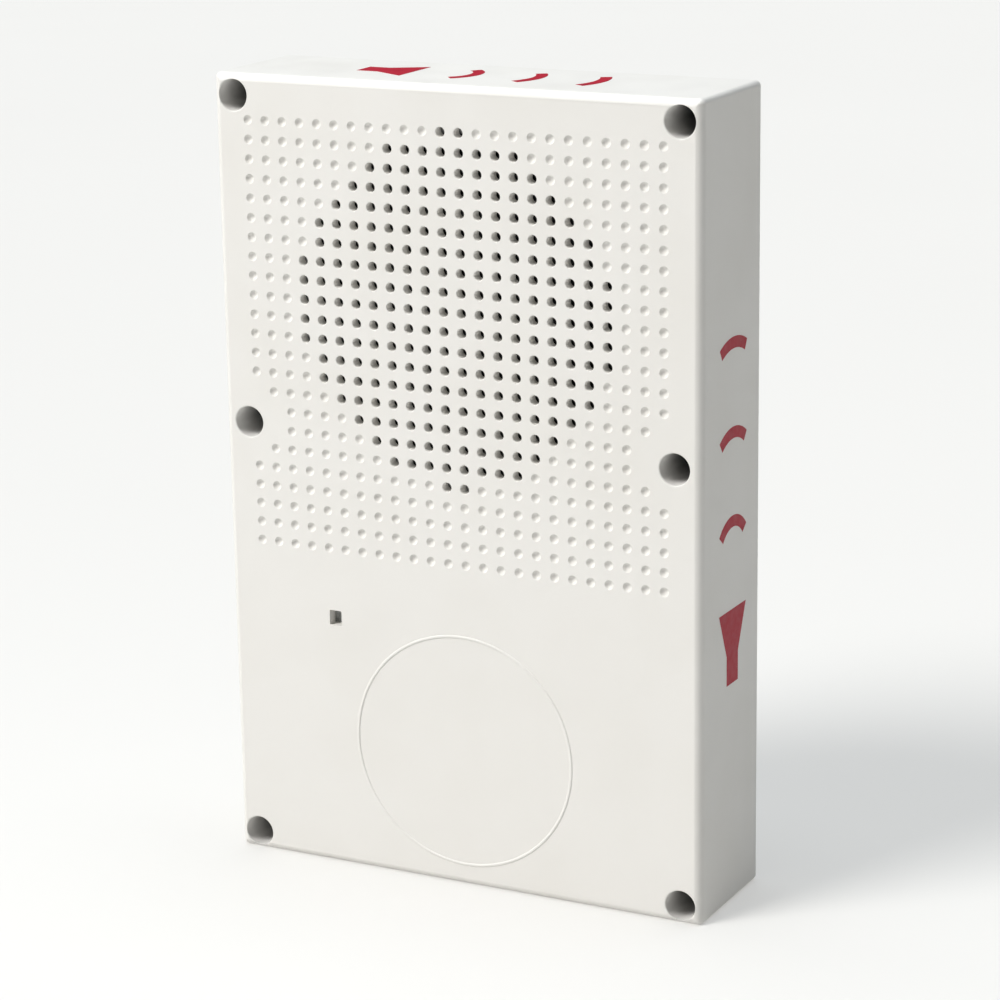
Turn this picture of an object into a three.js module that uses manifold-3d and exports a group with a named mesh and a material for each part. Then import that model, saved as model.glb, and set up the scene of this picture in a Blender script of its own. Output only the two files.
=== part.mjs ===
// Wall-mounted alarm siren of the loudspeaker type, for indoor or outdoor fire warning.
// Units are millimetres. +Z is up, the front faces -Y and the back lies on the wall plane y = 0.
// The origin is the middle of the back face.
// Depths are given as y values: a more negative y lies nearer the front.

import * as THREE from 'three';
import { mergeVertices } from 'three/addons/utils/BufferGeometryUtils.js';
import Module from 'manifold-3d';

const wasm = await Module();
wasm.setup();

// ---------------------------------------------------------------- driving dimensions

const WIDTH = 137;
const HEIGHT = 211.6;
const DEPTH = 36;
const WALL = 3;
const CORNER_RADIUS = 1.4;
const FRONT_EDGE_RADIUS = 2.4;
const GAP = 0.3;

// Grille: square grid of perforations, centred on the loudspeaker axis.
const PITCH = 5.08;
const GRILLE_Z = 48.3;
const HOLE_RADIUS = 1.25;
const HOLE_FIELD_RADIUS = 8.8 * PITCH;
const GRID_COLUMNS = 24;
const GRID_ROWS = 19;

// Skirt lip of the cover, which closes round the base and its gasket.
const LIP = 1.5;
const GASKET_SEAT_Y = -5.5;
const GASKET_THICKNESS = 1.5;
const LEDGE_Y = GASKET_SEAT_Y - 2 * GAP - GASKET_THICKNESS;
const BAND = 8.7;

// Cover screws, deep in round recesses.
const SCREW_CORNER_X = 62.7;
const SCREW_MID_X = 61.2;
const SCREW_TOP_Z = 100.2;
const SCREW_MID_Z = 14.1;
const SCREW_BOTTOM_Z = -101;
const RECESS_RADIUS = 4.1;
const RECESS_FLOOR_Y = -12;
const TOWER_RADIUS = 5.6;
const COVER_SCREWS = {
  top_left: [-SCREW_CORNER_X, SCREW_TOP_Z],
  top_right: [SCREW_CORNER_X, SCREW_TOP_Z],
  middle_left: [-SCREW_MID_X, SCREW_MID_Z],
  middle_right: [SCREW_MID_X, SCREW_MID_Z],
  bottom_left: [-SCREW_CORNER_X, SCREW_BOTTOM_Z],
  bottom_right: [SCREW_CORNER_X, SCREW_BOTTOM_Z],
};

// Indicator window, with the number ring of the tap dial behind it.
const WINDOW_X = -36.7;
const WINDOW_Z = -36.8;
const WINDOW_WIDTH = 3.6;
const WINDOW_HEIGHT = 4.1;
const DIAL_RING_RADIUS = 7;

// Base, its wall holes and its wire entry.
const BASE_THICKNESS = 2.5;
const BASE_HALF_WIDTH = WIDTH / 2 - LIP - GAP;
const BASE_HALF_HEIGHT = HEIGHT / 2 - LIP - GAP;
const WALL_HOLE_X = 53.5;
const WALL_HOLE_Z = [72, -88];
const WALL_HOLE_RADIUS = 2.3;
const WIRE_ENTRY_Z = -84;
const WIRE_ENTRY_RADIUS = 8;

// Loudspeaker, 4 inch size with a square flange.
const FLANGE_HALF = 51;
const FLANGE_FRONT_Y = -29.8;
const SPEAKER_HOLE = 41;
const SPEAKER_POSTS = [[-1, 1], [1, 1], [-1, -1], [1, -1]].map(
  ([sx, sz]) => [sx * SPEAKER_HOLE, GRILLE_Z + sz * SPEAKER_HOLE]);

// Circuit board.
const BOARD_HALF_WIDTH = 47;
const BOARD_TOP_Z = -14;
const BOARD_BOTTOM_Z = -74;
const BOARD_FRONT_Y = -12;
const BOARD_THICKNESS = 1.6;
const BOARD_POSTS = [[-42, -20], [42, -20], [-42, -68], [42, -68]];
const ON_BOARD_Y = BOARD_FRONT_Y - GAP;

// ---------------------------------------------------------------- materials

function finish(color, roughness, metalness = 0, opacity = 1) {
  return new THREE.MeshStandardMaterial(
    { color, roughness, metalness, opacity, transparent: opacity < 1 });
}

const COVER_WHITE = finish(0xebe9e4, 0.5);
const BASE_GREY = finish(0x8d9092, 0.55);
const RUBBER_BLACK = finish(0x1c1c1d, 0.85);
const FOAM_GREY = finish(0x3a3b3d, 0.95);
const STAINLESS = finish(0xb9bbbd, 0.3, 1);
const BRASS = finish(0xb8924a, 0.35, 1);
const CLEAR = finish(0xdfe6e8, 0.08, 0, 0.4);
const BASKET_BLACK = finish(0x202224, 0.45, 0.6);
const ZINC = finish(0xa7abad, 0.35, 1);
const FERRITE = finish(0x2f3032, 0.6, 0.2);
const COPPER = finish(0xb06a3c, 0.35, 1);
const PAPER_BLACK = finish(0x2b2b2c, 0.9);
const SPIDER_TAN = finish(0xa8843f, 0.85);
const BOARD_GREEN = finish(0x1f5a37, 0.4);
const LAMINATION = finish(0x6a6c70, 0.5, 0.8);
const TAPE_YELLOW = finish(0xc8a42c, 0.5);
const BOBBIN_BLACK = finish(0x26272a, 0.55);
const TERMINAL_BLUE = finish(0x2c5d8f, 0.45);
const DIAL_CREAM = finish(0xe6e1d2, 0.45);
const CAN_BLUE = finish(0x27345a, 0.35);
const WIRE_RED = finish(0xa8202a, 0.45);
const WIRE_BLACK = finish(0x18181a, 0.45);

// ---------------------------------------------------------------- solids

// A closed three.js geometry becomes a solid that can be joined and cut.
function toSolid(geometry) {
  const bare = new THREE.BufferGeometry();
  bare.setAttribute('position', geometry.getAttribute('position'));
  bare.setIndex(geometry.getIndex());
  const merged = mergeVertices(bare, 1e-4);
  const index = merged.getIndex().array;
  const kept = [];
  for (let i = 0; i < index.length; i += 3) {
    const [a, b, c] = [index[i], index[i + 1], index[i + 2]];
    if (a !== b && b !== c && c !== a) kept.push(a, b, c);
  }
  const vertProperties = new Float32Array(merged.getAttribute('position').array);
  const solid = (triangles) => new wasm.Manifold(
    new wasm.Mesh({ numProp: 3, vertProperties, triVerts: new Uint32Array(triangles) }));
  const first = solid(kept);
  return first.volume() > 0 ? first : solid(kept.reverse());
}

function toGeometry(solid) {
  const mesh = solid.getMesh();
  const geometry = new THREE.BufferGeometry();
  geometry.setAttribute('position', new THREE.BufferAttribute(mesh.vertProperties, 3));
  geometry.setIndex(new THREE.BufferAttribute(mesh.triVerts, 1));
  return geometry;
}

// Union of any number of solids.
function join(...solids) {
  return solids.flat().reduce((sum, solid) => sum.add(solid));
}

// First solid less all the others.
function cut(solid, ...tools) {
  return solid.subtract(join(...tools));
}

// Box between two depths, centred on (x, z).
function block(width, height, front, back, x = 0, z = 0) {
  const box = new THREE.BoxGeometry(width, back - front, height);
  return toSolid(box.translate(x, (front + back) / 2, z));
}

// Round bar along Y between two depths. frontRadius lets it taper.
function bar(radius, front, back, x = 0, z = 0, sides = 16, frontRadius = radius) {
  const cylinder = new THREE.CylinderGeometry(radius, frontRadius, back - front, sides);
  return toSolid(cylinder.translate(x, (front + back) / 2, z));
}

// Outline in the X-Z plane pushed through from one depth to another.
function prism(shape, front, back, curveSegments = 2) {
  const options = { depth: back - front, bevelEnabled: false, curveSegments };
  const geometry = new THREE.ExtrudeGeometry(shape, options);
  return toSolid(geometry.rotateX(Math.PI / 2).translate(0, back, 0));
}

// Ring or body of revolution about an axis along Y through (x, z), from [radius, y] points.
function turned(profile, x = 0, z = 0, sides = 24) {
  const points = profile.map(([radius, y]) => new THREE.Vector2(radius, y));
  return toSolid(new THREE.LatheGeometry(points, sides).translate(x, 0, z));
}

// The same for a closed section that doesn't reach the axis.
function turnedRing(section, x, z, sides) {
  return turned([...section, section[0]], x, z, sides);
}

function roundedRectangle(halfWidth, halfHeight, radius) {
  const shape = new THREE.Shape();
  const [w, h, r] = [halfWidth, halfHeight, radius];
  shape.moveTo(-w + r, -h);
  shape.lineTo(w - r, -h);
  shape.absarc(w - r, -h + r, r, -Math.PI / 2, 0);
  shape.lineTo(w, h - r);
  shape.absarc(w - r, h - r, r, 0, Math.PI / 2);
  shape.lineTo(-w + r, h);
  shape.absarc(-w + r, h - r, r, Math.PI / 2, Math.PI);
  shape.lineTo(-w, -h + r);
  shape.absarc(-w + r, -h + r, r, Math.PI, 1.5 * Math.PI);
  return shape;
}

// Rounded rectangular plate with a smaller one cut from its middle.
function frame(halfWidth, halfHeight, band, front, back, radius = 2) {
  const outer = prism(roundedRectangle(halfWidth, halfHeight, radius), front, back);
  const inner = roundedRectangle(halfWidth - band, halfHeight - band, radius);
  return cut(outer, prism(inner, front - 1, back + 1));
}

const siren = new THREE.Group();

function add(name, material, solid) {
  const mesh = new THREE.Mesh(toGeometry(solid), material);
  mesh.name = name;
  siren.add(mesh);
}

// ---------------------------------------------------------------- cover and its hardware

// One moulding: front face, four sides down to the wall, and six screw towers inside.
function coverBody() {
  const [w, h] = [WIDTH / 2, HEIGHT / 2];
  const rectangle = [[-w, -h], [w, -h], [w, h], [-w, h]].map(([x, z]) => new THREE.Vector2(x, z));
  const shell = new THREE.ExtrudeGeometry(new THREE.Shape(rectangle), {
    depth: DEPTH,
    bevelSize: FRONT_EDGE_RADIUS,
    bevelThickness: FRONT_EDGE_RADIUS,
    bevelOffset: -FRONT_EDGE_RADIUS,
    bevelSegments: 2,
  });
  shell.rotateX(Math.PI / 2).translate(0, FRONT_EDGE_RADIUS, 0);
  const behindTheWall = block(WIDTH + 10, HEIGHT + 10, 0, 10);
  const roundedCorners = prism(roundedRectangle(w, h, CORNER_RADIUS), -DEPTH - 1, 1);
  return cut(toSolid(shell), behindTheWall).intersect(roundedCorners);
}

function grilleHoles() {
  const holes = [];
  for (let column = 0; column < GRID_COLUMNS; column += 1) {
    for (let row = 0; row < GRID_ROWS; row += 1) {
      const x = (column - (GRID_COLUMNS - 1) / 2) * PITCH;
      const z = (row - (GRID_ROWS - 1) / 2) * PITCH;
      const onAxisEnd = Math.abs(x) < PITCH && Math.abs(z) > 8.5 * PITCH;
      if (Math.hypot(x, z) < HOLE_FIELD_RADIUS || onAxisEnd) {
        holes.push(bar(HOLE_RADIUS, -DEPTH - 1, -DEPTH + WALL + 1, x, GRILLE_Z + z, 6));
      }
    }
  }
  return wasm.Manifold.union(holes);
}

function frontCover() {
  const body = coverBody();
  const insideFace = -DEPTH + WALL;
  const pocket = prism(roundedRectangle(WIDTH / 2 - WALL, HEIGHT / 2 - WALL, 1.5), insideFace, 1);
  const lip = prism(roundedRectangle(WIDTH / 2 - LIP, HEIGHT / 2 - LIP, 2), LEDGE_Y, 1);
  const positions = Object.values(COVER_SCREWS);
  const towers = positions.map(([x, z]) => bar(TOWER_RADIUS, -DEPTH + 1, LEDGE_Y, x, z, 16));
  const recesses = positions.map(([x, z]) => bar(RECESS_RADIUS, -DEPTH - 1, RECESS_FLOOR_Y, x, z, 16));
  const shanks = positions.map(([x, z]) => bar(1.9, RECESS_FLOOR_Y - 1, LEDGE_Y + 1, x, z, 8));
  const lensHousing = cut(
    block(11.4, 11.8, insideFace - 1, insideFace + 2, WINDOW_X, WINDOW_Z),
    block(8.6, 9.0, insideFace, insideFace + 3, WINDOW_X, WINDOW_Z));
  const opening = block(WINDOW_WIDTH, WINDOW_HEIGHT, -DEPTH - 1, insideFace + 1, WINDOW_X, WINDOW_Z);
  const shell = cut(body, pocket, lip);
  const solid = join(shell, join(...towers).intersect(body), lensHousing);
  return cut(solid, ...recesses, ...shanks, opening, grilleHoles());
}

// Flat die-cut gasket between the cover's ledge and the base.
function coverGasket() {
  const front = GASKET_SEAT_Y - GAP - GASKET_THICKNESS;
  const back = GASKET_SEAT_Y - GAP;
  const band = frame(BASE_HALF_WIDTH - GAP, BASE_HALF_HEIGHT - GAP, BAND, front, back);
  const holes = Object.values(COVER_SCREWS).map(([x, z]) => bar(1.9, front - 1, back + 1, x, z, 8));
  return cut(band, ...holes);
}

// Captive screw with a domed head and a six-sided socket.
function coverScrew(x, z) {
  const seat = RECESS_FLOOR_Y - GAP;
  const headTop = seat - 2.2;
  const end = -2.6;
  const body = turned([
    [0, headTop], [2.2, headTop + 0.2], [3.2, headTop + 1.4], [3.2, seat], [1.45, seat],
    [1.45, end - 0.6], [0, end],
  ], x, z, 12);
  return cut(body, bar(1.5, headTop - 1, headTop + 1.2, x, z, 6));
}

// Brass insert moulded into the base, which the cover screw turns into.
function threadedInsert(x, z) {
  const [front, back] = [GASKET_SEAT_Y + 0.1, -2.2];
  return turnedRing([[1.75, front], [1.75, back], [2.2, back], [2.2, front]], x, z, 12);
}

function addCover() {
  add('front_cover', COVER_WHITE, frontCover());
  add('cover_gasket', FOAM_GREY, coverGasket());
  const lensFront = -DEPTH + WALL + GAP;
  add('window_lens', CLEAR, block(8, 8.4, lensFront, lensFront + 1.5, WINDOW_X, WINDOW_Z));
  for (const [place, [x, z]] of Object.entries(COVER_SCREWS)) {
    add(`cover_screw_${place}`, STAINLESS, coverScrew(x, z));
    add(`threaded_insert_${place}`, BRASS, threadedInsert(x, z));
  }
}

// ---------------------------------------------------------------- base

function basePlate() {
  const outline = roundedRectangle(BASE_HALF_WIDTH, BASE_HALF_HEIGHT, 1.7);
  const plate = prism(outline, -BASE_THICKNESS, 0);
  const rim = frame(BASE_HALF_WIDTH, BASE_HALF_HEIGHT, BAND, GASKET_SEAT_Y, -1, 1.7);
  const postTop = FLANGE_FRONT_Y + 1 + GAP;
  const boardPostTop = BOARD_FRONT_Y + BOARD_THICKNESS + GAP;
  const posts = SPEAKER_POSTS.map(([x, z]) => bar(4.5, postTop, -1, x, z, 12, 3.6));
  const boardPosts = BOARD_POSTS.map(([x, z]) => bar(3.6, boardPostTop, -1, x, z, 10, 3.2));
  const magnetRing = turnedRing([[28, -5], [30, -5], [30, -1], [28, -1]], 0, GRILLE_Z, 24);
  const ribs = [-1, 1].map((side) => block(1.6, 76, -4.6, -1, side * 50, -46));
  const inserts = Object.values(COVER_SCREWS).map(
    ([x, z]) => bar(2.5, GASKET_SEAT_Y - 1, -1.9, x, z, 12));
  const screwHoles = SPEAKER_POSTS.map(([x, z]) => bar(1.6, postTop - 1, postTop + 12, x, z, 8));
  const boardHoles = BOARD_POSTS.map(([x, z]) => bar(1.6, boardPostTop - 1, -1.2, x, z, 8));
  const wallHoles = WALL_HOLE_Z.flatMap((z) => [-1, 1].map(
    (side) => bar(WALL_HOLE_RADIUS, -6, 1, side * WALL_HOLE_X, z, 12)));
  const wireEntry = bar(WIRE_ENTRY_RADIUS, -6, 1, 0, WIRE_ENTRY_Z, 18);
  const sealGroove = frame(BASE_HALF_WIDTH - 1.2, BASE_HALF_HEIGHT - 1.2, 5.7, -1.2, 1);
  const solid = join(plate, rim, ...posts, ...boardPosts, magnetRing, ...ribs);
  return cut(solid, ...inserts, ...screwHoles, ...boardHoles, ...wallHoles, wireEntry, sealGroove);
}

function wallGasket() {
  const side = 1.2 + GAP;
  return frame(BASE_HALF_WIDTH - side, BASE_HALF_HEIGHT - side, 5.7 - 2 * GAP, -1.2 + GAP, 0);
}

function wireGrommet() {
  const plate = -BASE_THICKNESS - GAP;
  return turnedRing([
    [5, -4.2], [5, -0.2], [7.6, -0.2], [7.6, plate], [10.2, plate], [10.2, -4.2],
  ], 0, WIRE_ENTRY_Z, 18);
}

function addBase() {
  add('base_plate', BASE_GREY, basePlate());
  add('wall_gasket', FOAM_GREY, wallGasket());
  add('wire_grommet', RUBBER_BLACK, wireGrommet());
}

// ---------------------------------------------------------------- loudspeaker

function speakerBasket() {
  const [front, back] = [FLANGE_FRONT_Y, FLANGE_FRONT_Y + 1];
  const flange = prism(roundedRectangle(FLANGE_HALF, FLANGE_HALF, 8), front, back);
  const placed = cut(flange, bar(43.5, front - 1, back + 1, 0, 0, 24)).translate([0, 0, GRILLE_Z]);
  const wall = turnedRing([
    [13.6, -13], [27.5, -13], [27.5, -16], [31.6, -16], [46, back - 0.2], [44.4, back - 0.2],
    [31, -17], [26.5, -17], [26.5, -14], [13.6, -14],
  ], 0, GRILLE_Z, 24);
  const windows = [0, 1, 2, 3, 4, 5].map((k) => {
    const slot = new THREE.BoxGeometry(12.5, 9, 25);
    slot.translate(38.4, -22.4, 0).rotateY(k * Math.PI / 3).translate(0, 0, GRILLE_Z);
    return toSolid(slot);
  });
  const holes = SPEAKER_POSTS.map(([x, z]) => bar(2.1, front - 1, back + 1, x, z, 8));
  return cut(join(placed, wall), ...windows, ...holes);
}

// Ribbed paper cone, open at the neck, from its front side to its back side.
function speakerCone() {
  const [neck, rim] = [12.7, 38];
  const [neckY, rimY] = [-19.5, -28.2];
  const thickness = 0.7;
  const steps = 3;
  const bow = 1.2;
  const front = [];
  for (let i = 0; i <= steps; i += 1) {
    const t = i / steps;
    const radius = neck + (rim - neck) * t;
    front.push([radius, neckY + (rimY - neckY) * t + bow * Math.sin(Math.PI * t)]);
  }
  const back = front.map(([radius, y]) => [radius, y + thickness]).reverse();
  return turnedRing([...front, ...back], 0, GRILLE_Z, 24);
}

// Half-roll surround between the cone's rim and the basket flange.
function coneSurround() {
  const thickness = 0.5;
  const [inner, outer] = [38.3, 44.3];
  const [innerY, outerY] = [-28.2, -30.6];
  const steps = 4;
  const roll = [];
  for (let i = 0; i <= steps; i += 1) {
    const angle = Math.PI * i / steps;
    const t = (1 - Math.cos(angle)) / 2;
    const radius = inner + (outer - inner) * t;
    roll.push([radius, innerY + (outerY - innerY) * t - 1.5 * Math.sin(angle)]);
  }
  const front = [...roll, [47.5, outerY]];
  const back = front.map(([radius, y]) => [radius, y + thickness]).reverse();
  return turnedRing([...front, ...back], 0, GRILLE_Z, 24);
}

// Corrugated centring disc behind the cone.
function spider() {
  const [inner, outer] = [12.8, 30.6];
  const rings = 3;
  const steps = rings * 2;
  const front = [];
  for (let i = 0; i <= steps; i += 1) {
    const t = i / steps;
    const wave = 0.35 * Math.cos(Math.PI * i);
    front.push([inner + (outer - inner) * t, -17.95 + wave]);
  }
  const back = front.map(([radius, y]) => [radius, y + 0.3]).reverse();
  return turnedRing([...front, ...back], 0, GRILLE_Z, 24);
}

function dustCap() {
  const [radius, height, baseY] = [14, 5, -20.6];
  const steps = 3;
  const sphere = (radius * radius + height * height) / (2 * height);
  const outside = [];
  for (let i = 0; i <= steps; i += 1) {
    const r = radius * i / steps;
    outside.push([r, baseY - Math.sqrt(sphere * sphere - r * r) + sphere - height]);
  }
  const inside = outside.map(([r, y]) => [r, y + 0.4]).reverse();
  return turned([...outside, ...inside], 0, GRILLE_Z, 20);
}

function magnetTopPlate() {
  return turnedRing([[13, -12.7], [26, -12.7], [26, -9.7], [13, -9.7]], 0, GRILLE_Z, 24);
}

function magnetRing() {
  return turnedRing([[14.5, -9.4], [27, -9.4], [27, -5.3], [14.5, -5.3]], 0, GRILLE_Z, 24);
}

// Back plate and pole piece in one.
function poleYoke() {
  return turned([
    [0, -12.7], [11.2, -12.7], [11.2, -5], [25, -5], [26, -4.2], [26, -2.8], [0, -2.8],
  ], 0, GRILLE_Z, 24);
}

function voiceCoil() {
  return turnedRing([
    [11.7, -20.6], [12.1, -20.6], [12.1, -13.2], [12.5, -13.2], [12.5, -7.8], [11.7, -7.8],
  ], 0, GRILLE_Z, 24);
}

function speakerGasket() {
  return turnedRing([[45, -32.7], [50.4, -32.7], [50.4, -31], [45, -31]], 0, GRILLE_Z, 28);
}

// Fibre strip behind the basket's lower shelf, with two holes for the solder tags.
function speakerTerminalStrip() {
  const plate = block(17, 12, -15.7, -14.7, 0, GRILLE_Z - 34.4);
  return cut(plate, ...[-5, 5].map((x) => bar(0.9, -17, -13, x, GRILLE_Z - 36.5, 8)));
}

// Pan-head screw along Y, its head seated at the given depth.
function panScrew(x, z, seat, length, shank = 1.2, head = 2.9) {
  const top = seat - 2;
  return turned([
    [0, top], [head * 0.7, top + 0.2], [head, top + 1], [head, seat], [shank, seat],
    [shank, seat + length - 0.6], [0, seat + length],
  ], x, z, 10);
}

function addSpeaker() {
  add('speaker_basket', BASKET_BLACK, speakerBasket());
  add('speaker_cone', PAPER_BLACK, speakerCone());
  add('cone_surround', RUBBER_BLACK, coneSurround());
  add('spider', SPIDER_TAN, spider());
  add('dust_cap', PAPER_BLACK, dustCap());
  add('voice_coil', COPPER, voiceCoil());
  add('magnet_top_plate', ZINC, magnetTopPlate());
  add('magnet_ring', FERRITE, magnetRing());
  add('pole_yoke', ZINC, poleYoke());
  add('speaker_gasket', FOAM_GREY, speakerGasket());
  add('speaker_terminal_strip', SPIDER_TAN, speakerTerminalStrip());
  SPEAKER_POSTS.forEach(([x, z], i) => {
    add(`speaker_screw_${i + 1}`, ZINC, panScrew(x, z, FLANGE_FRONT_Y - GAP, 10));
  });
}

// ---------------------------------------------------------------- electronics

function circuitBoard() {
  const middle = (BOARD_TOP_Z + BOARD_BOTTOM_Z) / 2;
  const outline = roundedRectangle(BOARD_HALF_WIDTH, (BOARD_TOP_Z - BOARD_BOTTOM_Z) / 2, 2);
  const board = prism(outline, BOARD_FRONT_Y, BOARD_FRONT_Y + BOARD_THICKNESS, 2);
  const holes = BOARD_POSTS.map(([x, z]) => bar(1.8, BOARD_FRONT_Y - 1, BOARD_FRONT_Y + 3, x, z, 10));
  return cut(board.translate([0, 0, middle]), ...holes);
}

// Transformer that matches the loudspeaker to the alarm line.
const TRANSFORMER_X = 22;
const TRANSFORMER_Z = -38;
const TRANSFORMER_Y = -21.4;
const CORE = { width: 34, height: 28, stack: 11, leg: 11, windowWidth: 6, windowHeight: 16 };

function transformerCore() {
  const [front, back] = [TRANSFORMER_Y - CORE.stack / 2, TRANSFORMER_Y + CORE.stack / 2];
  const body = block(CORE.width, CORE.height, front, back, TRANSFORMER_X, TRANSFORMER_Z);
  const offset = (CORE.leg + CORE.windowWidth) / 2;
  const windows = [-offset, offset].map((x) => block(
    CORE.windowWidth, CORE.windowHeight, front - 1, back + 1, TRANSFORMER_X + x, TRANSFORMER_Z));
  return cut(body, ...windows);
}

// Rectangular sleeve round the core's middle leg, between two z values.
function sleeve(inner, outerWidth, outerDepth, low, high) {
  const z = (low + high) / 2;
  const height = high - low;
  const box = (width, depth, tall) => block(
    width, tall, TRANSFORMER_Y - depth / 2, TRANSFORMER_Y + depth / 2, TRANSFORMER_X, z);
  return cut(box(outerWidth, outerDepth, height), box(inner, inner, height + 2));
}

function transformerBobbin() {
  const inside = CORE.leg + 2 * GAP;
  const half = CORE.windowHeight / 2 - GAP;
  const width = CORE.leg + 2 * CORE.windowWidth - 2 * GAP;
  const tube = sleeve(inside, inside + 1.6, inside + 1.6, TRANSFORMER_Z - half, TRANSFORMER_Z + half);
  const flanges = [-half, half - 1].map((z) => {
    const ring = sleeve(inside, width, 17.6, TRANSFORMER_Z + z, TRANSFORMER_Z + z + 1);
    const foot = block(width, 1, TRANSFORMER_Y + 8, ON_BOARD_Y, TRANSFORMER_X, TRANSFORMER_Z + z + 0.5);
    return join(ring, foot);
  });
  return join(tube, ...flanges);
}

function transformerWinding() {
  const inside = CORE.leg + 2 * GAP + 1.6 + 2 * GAP;
  const width = CORE.leg + 2 * CORE.windowWidth - 4 * GAP;
  const half = CORE.windowHeight / 2 - 2 * GAP - 1;
  return sleeve(inside, width, 17, TRANSFORMER_Z - half, TRANSFORMER_Z + half);
}

// Four-way screw terminal at the board's lower edge; the wires enter from below.
const TERMINAL_PITCH = 6.35;
const TERMINAL_TOP_Z = -62.5;
const TERMINAL_BOTTOM_Z = -73.5;
const TERMINAL_FRONT_Y = -23.5;
const TERMINALS = [-1.5, -0.5, 0.5, 1.5].map((k) => k * TERMINAL_PITCH);
const TERMINAL_SCREW_Z = -67;

function terminalBlock() {
  const height = TERMINAL_TOP_Z - TERMINAL_BOTTOM_Z;
  const middle = (TERMINAL_TOP_Z + TERMINAL_BOTTOM_Z) / 2;
  const body = block(4 * TERMINAL_PITCH + 1, height, TERMINAL_FRONT_Y, ON_BOARD_Y, 0, middle);
  const chamfer = block(4 * TERMINAL_PITCH + 3, 4, -25, -20.5, 0, TERMINAL_BOTTOM_Z);
  const wells = TERMINALS.map((x) => bar(2.4, -25, -19.2, x, TERMINAL_SCREW_Z, 10));
  const shafts = TERMINALS.map((x) => bar(1.5, -20, -16, x, TERMINAL_SCREW_Z, 8));
  const mouths = TERMINALS.map((x) => block(3.6, 9, -17.8, -14.2, x, TERMINAL_BOTTOM_Z + 4));
  return cut(body, chamfer, ...wells, ...shafts, ...mouths);
}

function terminalScrew(x) {
  const seat = -19.5;
  const body = turned([
    [0, seat - 1.6], [2, seat - 1.6], [2, seat], [1.2, seat], [1.2, -16.4], [0, -16.4],
  ], x, TERMINAL_SCREW_Z, 10);
  return cut(body, block(5, 0.7, seat - 3, seat - 0.9, x, TERMINAL_SCREW_Z));
}

// Rotary power-tap selector: its number ring shows through the window.
const DIAL_Z = WINDOW_Z - DIAL_RING_RADIUS;

function tapSelectorHousing() {
  const body = block(13, 13, -18.4, ON_BOARD_Y, WINDOW_X, DIAL_Z);
  return cut(body, bar(3.3, -20, -13.8, WINDOW_X, DIAL_Z, 12));
}

function tapSelectorDial() {
  const [top, under] = [-30.4, -28.4];
  const body = turned([
    [0, top], [9.6, top], [9.6, under], [3, under + 1.5], [3, -14.1], [0, -14.1],
  ], WINDOW_X, DIAL_Z, 24);
  const slot = block(7, 1.2, top - 1, top + 0.9, WINDOW_X, DIAL_Z);
  return cut(body, slot);
}

function capacitor(x, z) {
  const top = -27;
  return turned([
    [0, top], [4.5, top], [5, top + 0.5], [5, -14.4], [4.6, -13.9], [5, -13.4], [5, ON_BOARD_Y],
    [0, ON_BOARD_Y],
  ], x, z, 16);
}

// Insulated lead from the loudspeaker's terminal strip to the board.
const LEAD_RADIUS = 0.9;

function speakerLead(side) {
  const route = [
    [5, -15.2, GRILLE_Z - 41], [5.2, -15.8, 2], [6, -17, -5], [7, -16.8, -12], [7.2, -15.6, -16.8],
    [7.2, ON_BOARD_Y - GAP, -18.5],
  ].map(([x, y, z]) => new THREE.Vector3(side * x, y, z));
  const circle = new THREE.Shape().absarc(0, 0, LEAD_RADIUS, 0, 2 * Math.PI);
  const extrudePath = new THREE.CatmullRomCurve3(route);
  return toSolid(new THREE.ExtrudeGeometry(circle, { steps: 14, curveSegments: 3, extrudePath }));
}

function addElectronics() {
  add('circuit_board', BOARD_GREEN, circuitBoard());
  BOARD_POSTS.forEach(([x, z], i) => {
    add(`board_screw_${i + 1}`, ZINC, panScrew(x, z, BOARD_FRONT_Y - GAP, 9));
  });
  add('transformer_core', LAMINATION, transformerCore());
  add('transformer_bobbin', BOBBIN_BLACK, transformerBobbin());
  add('transformer_winding', TAPE_YELLOW, transformerWinding());
  add('terminal_block', TERMINAL_BLUE, terminalBlock());
  TERMINALS.forEach((x, i) => add(`terminal_screw_${i + 1}`, ZINC, terminalScrew(x)));
  add('tap_selector_housing', BOBBIN_BLACK, tapSelectorHousing());
  add('tap_selector_dial', DIAL_CREAM, tapSelectorDial());
  add('capacitor_upper', CAN_BLUE, capacitor(-12, -28));
  add('capacitor_lower', CAN_BLUE, capacitor(-12, -42));
  add('speaker_lead_red', WIRE_RED, speakerLead(1));
  add('speaker_lead_black', WIRE_BLACK, speakerLead(-1));
}

addCover();
addBase();
addSpeaker();
addElectronics();

export default siren;
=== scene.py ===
"""Looks of a wall-mounted alarm siren of the loudspeaker type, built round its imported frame.

Lengths are written in millimetres and meshes are made in metres. +Z is up, the front faces -Y,
and the back lies on the wall plane y = 0. Depths are y values: more negative is nearer the front.
"""

import math

import bmesh
import bpy
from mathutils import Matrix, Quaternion, Vector


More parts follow.
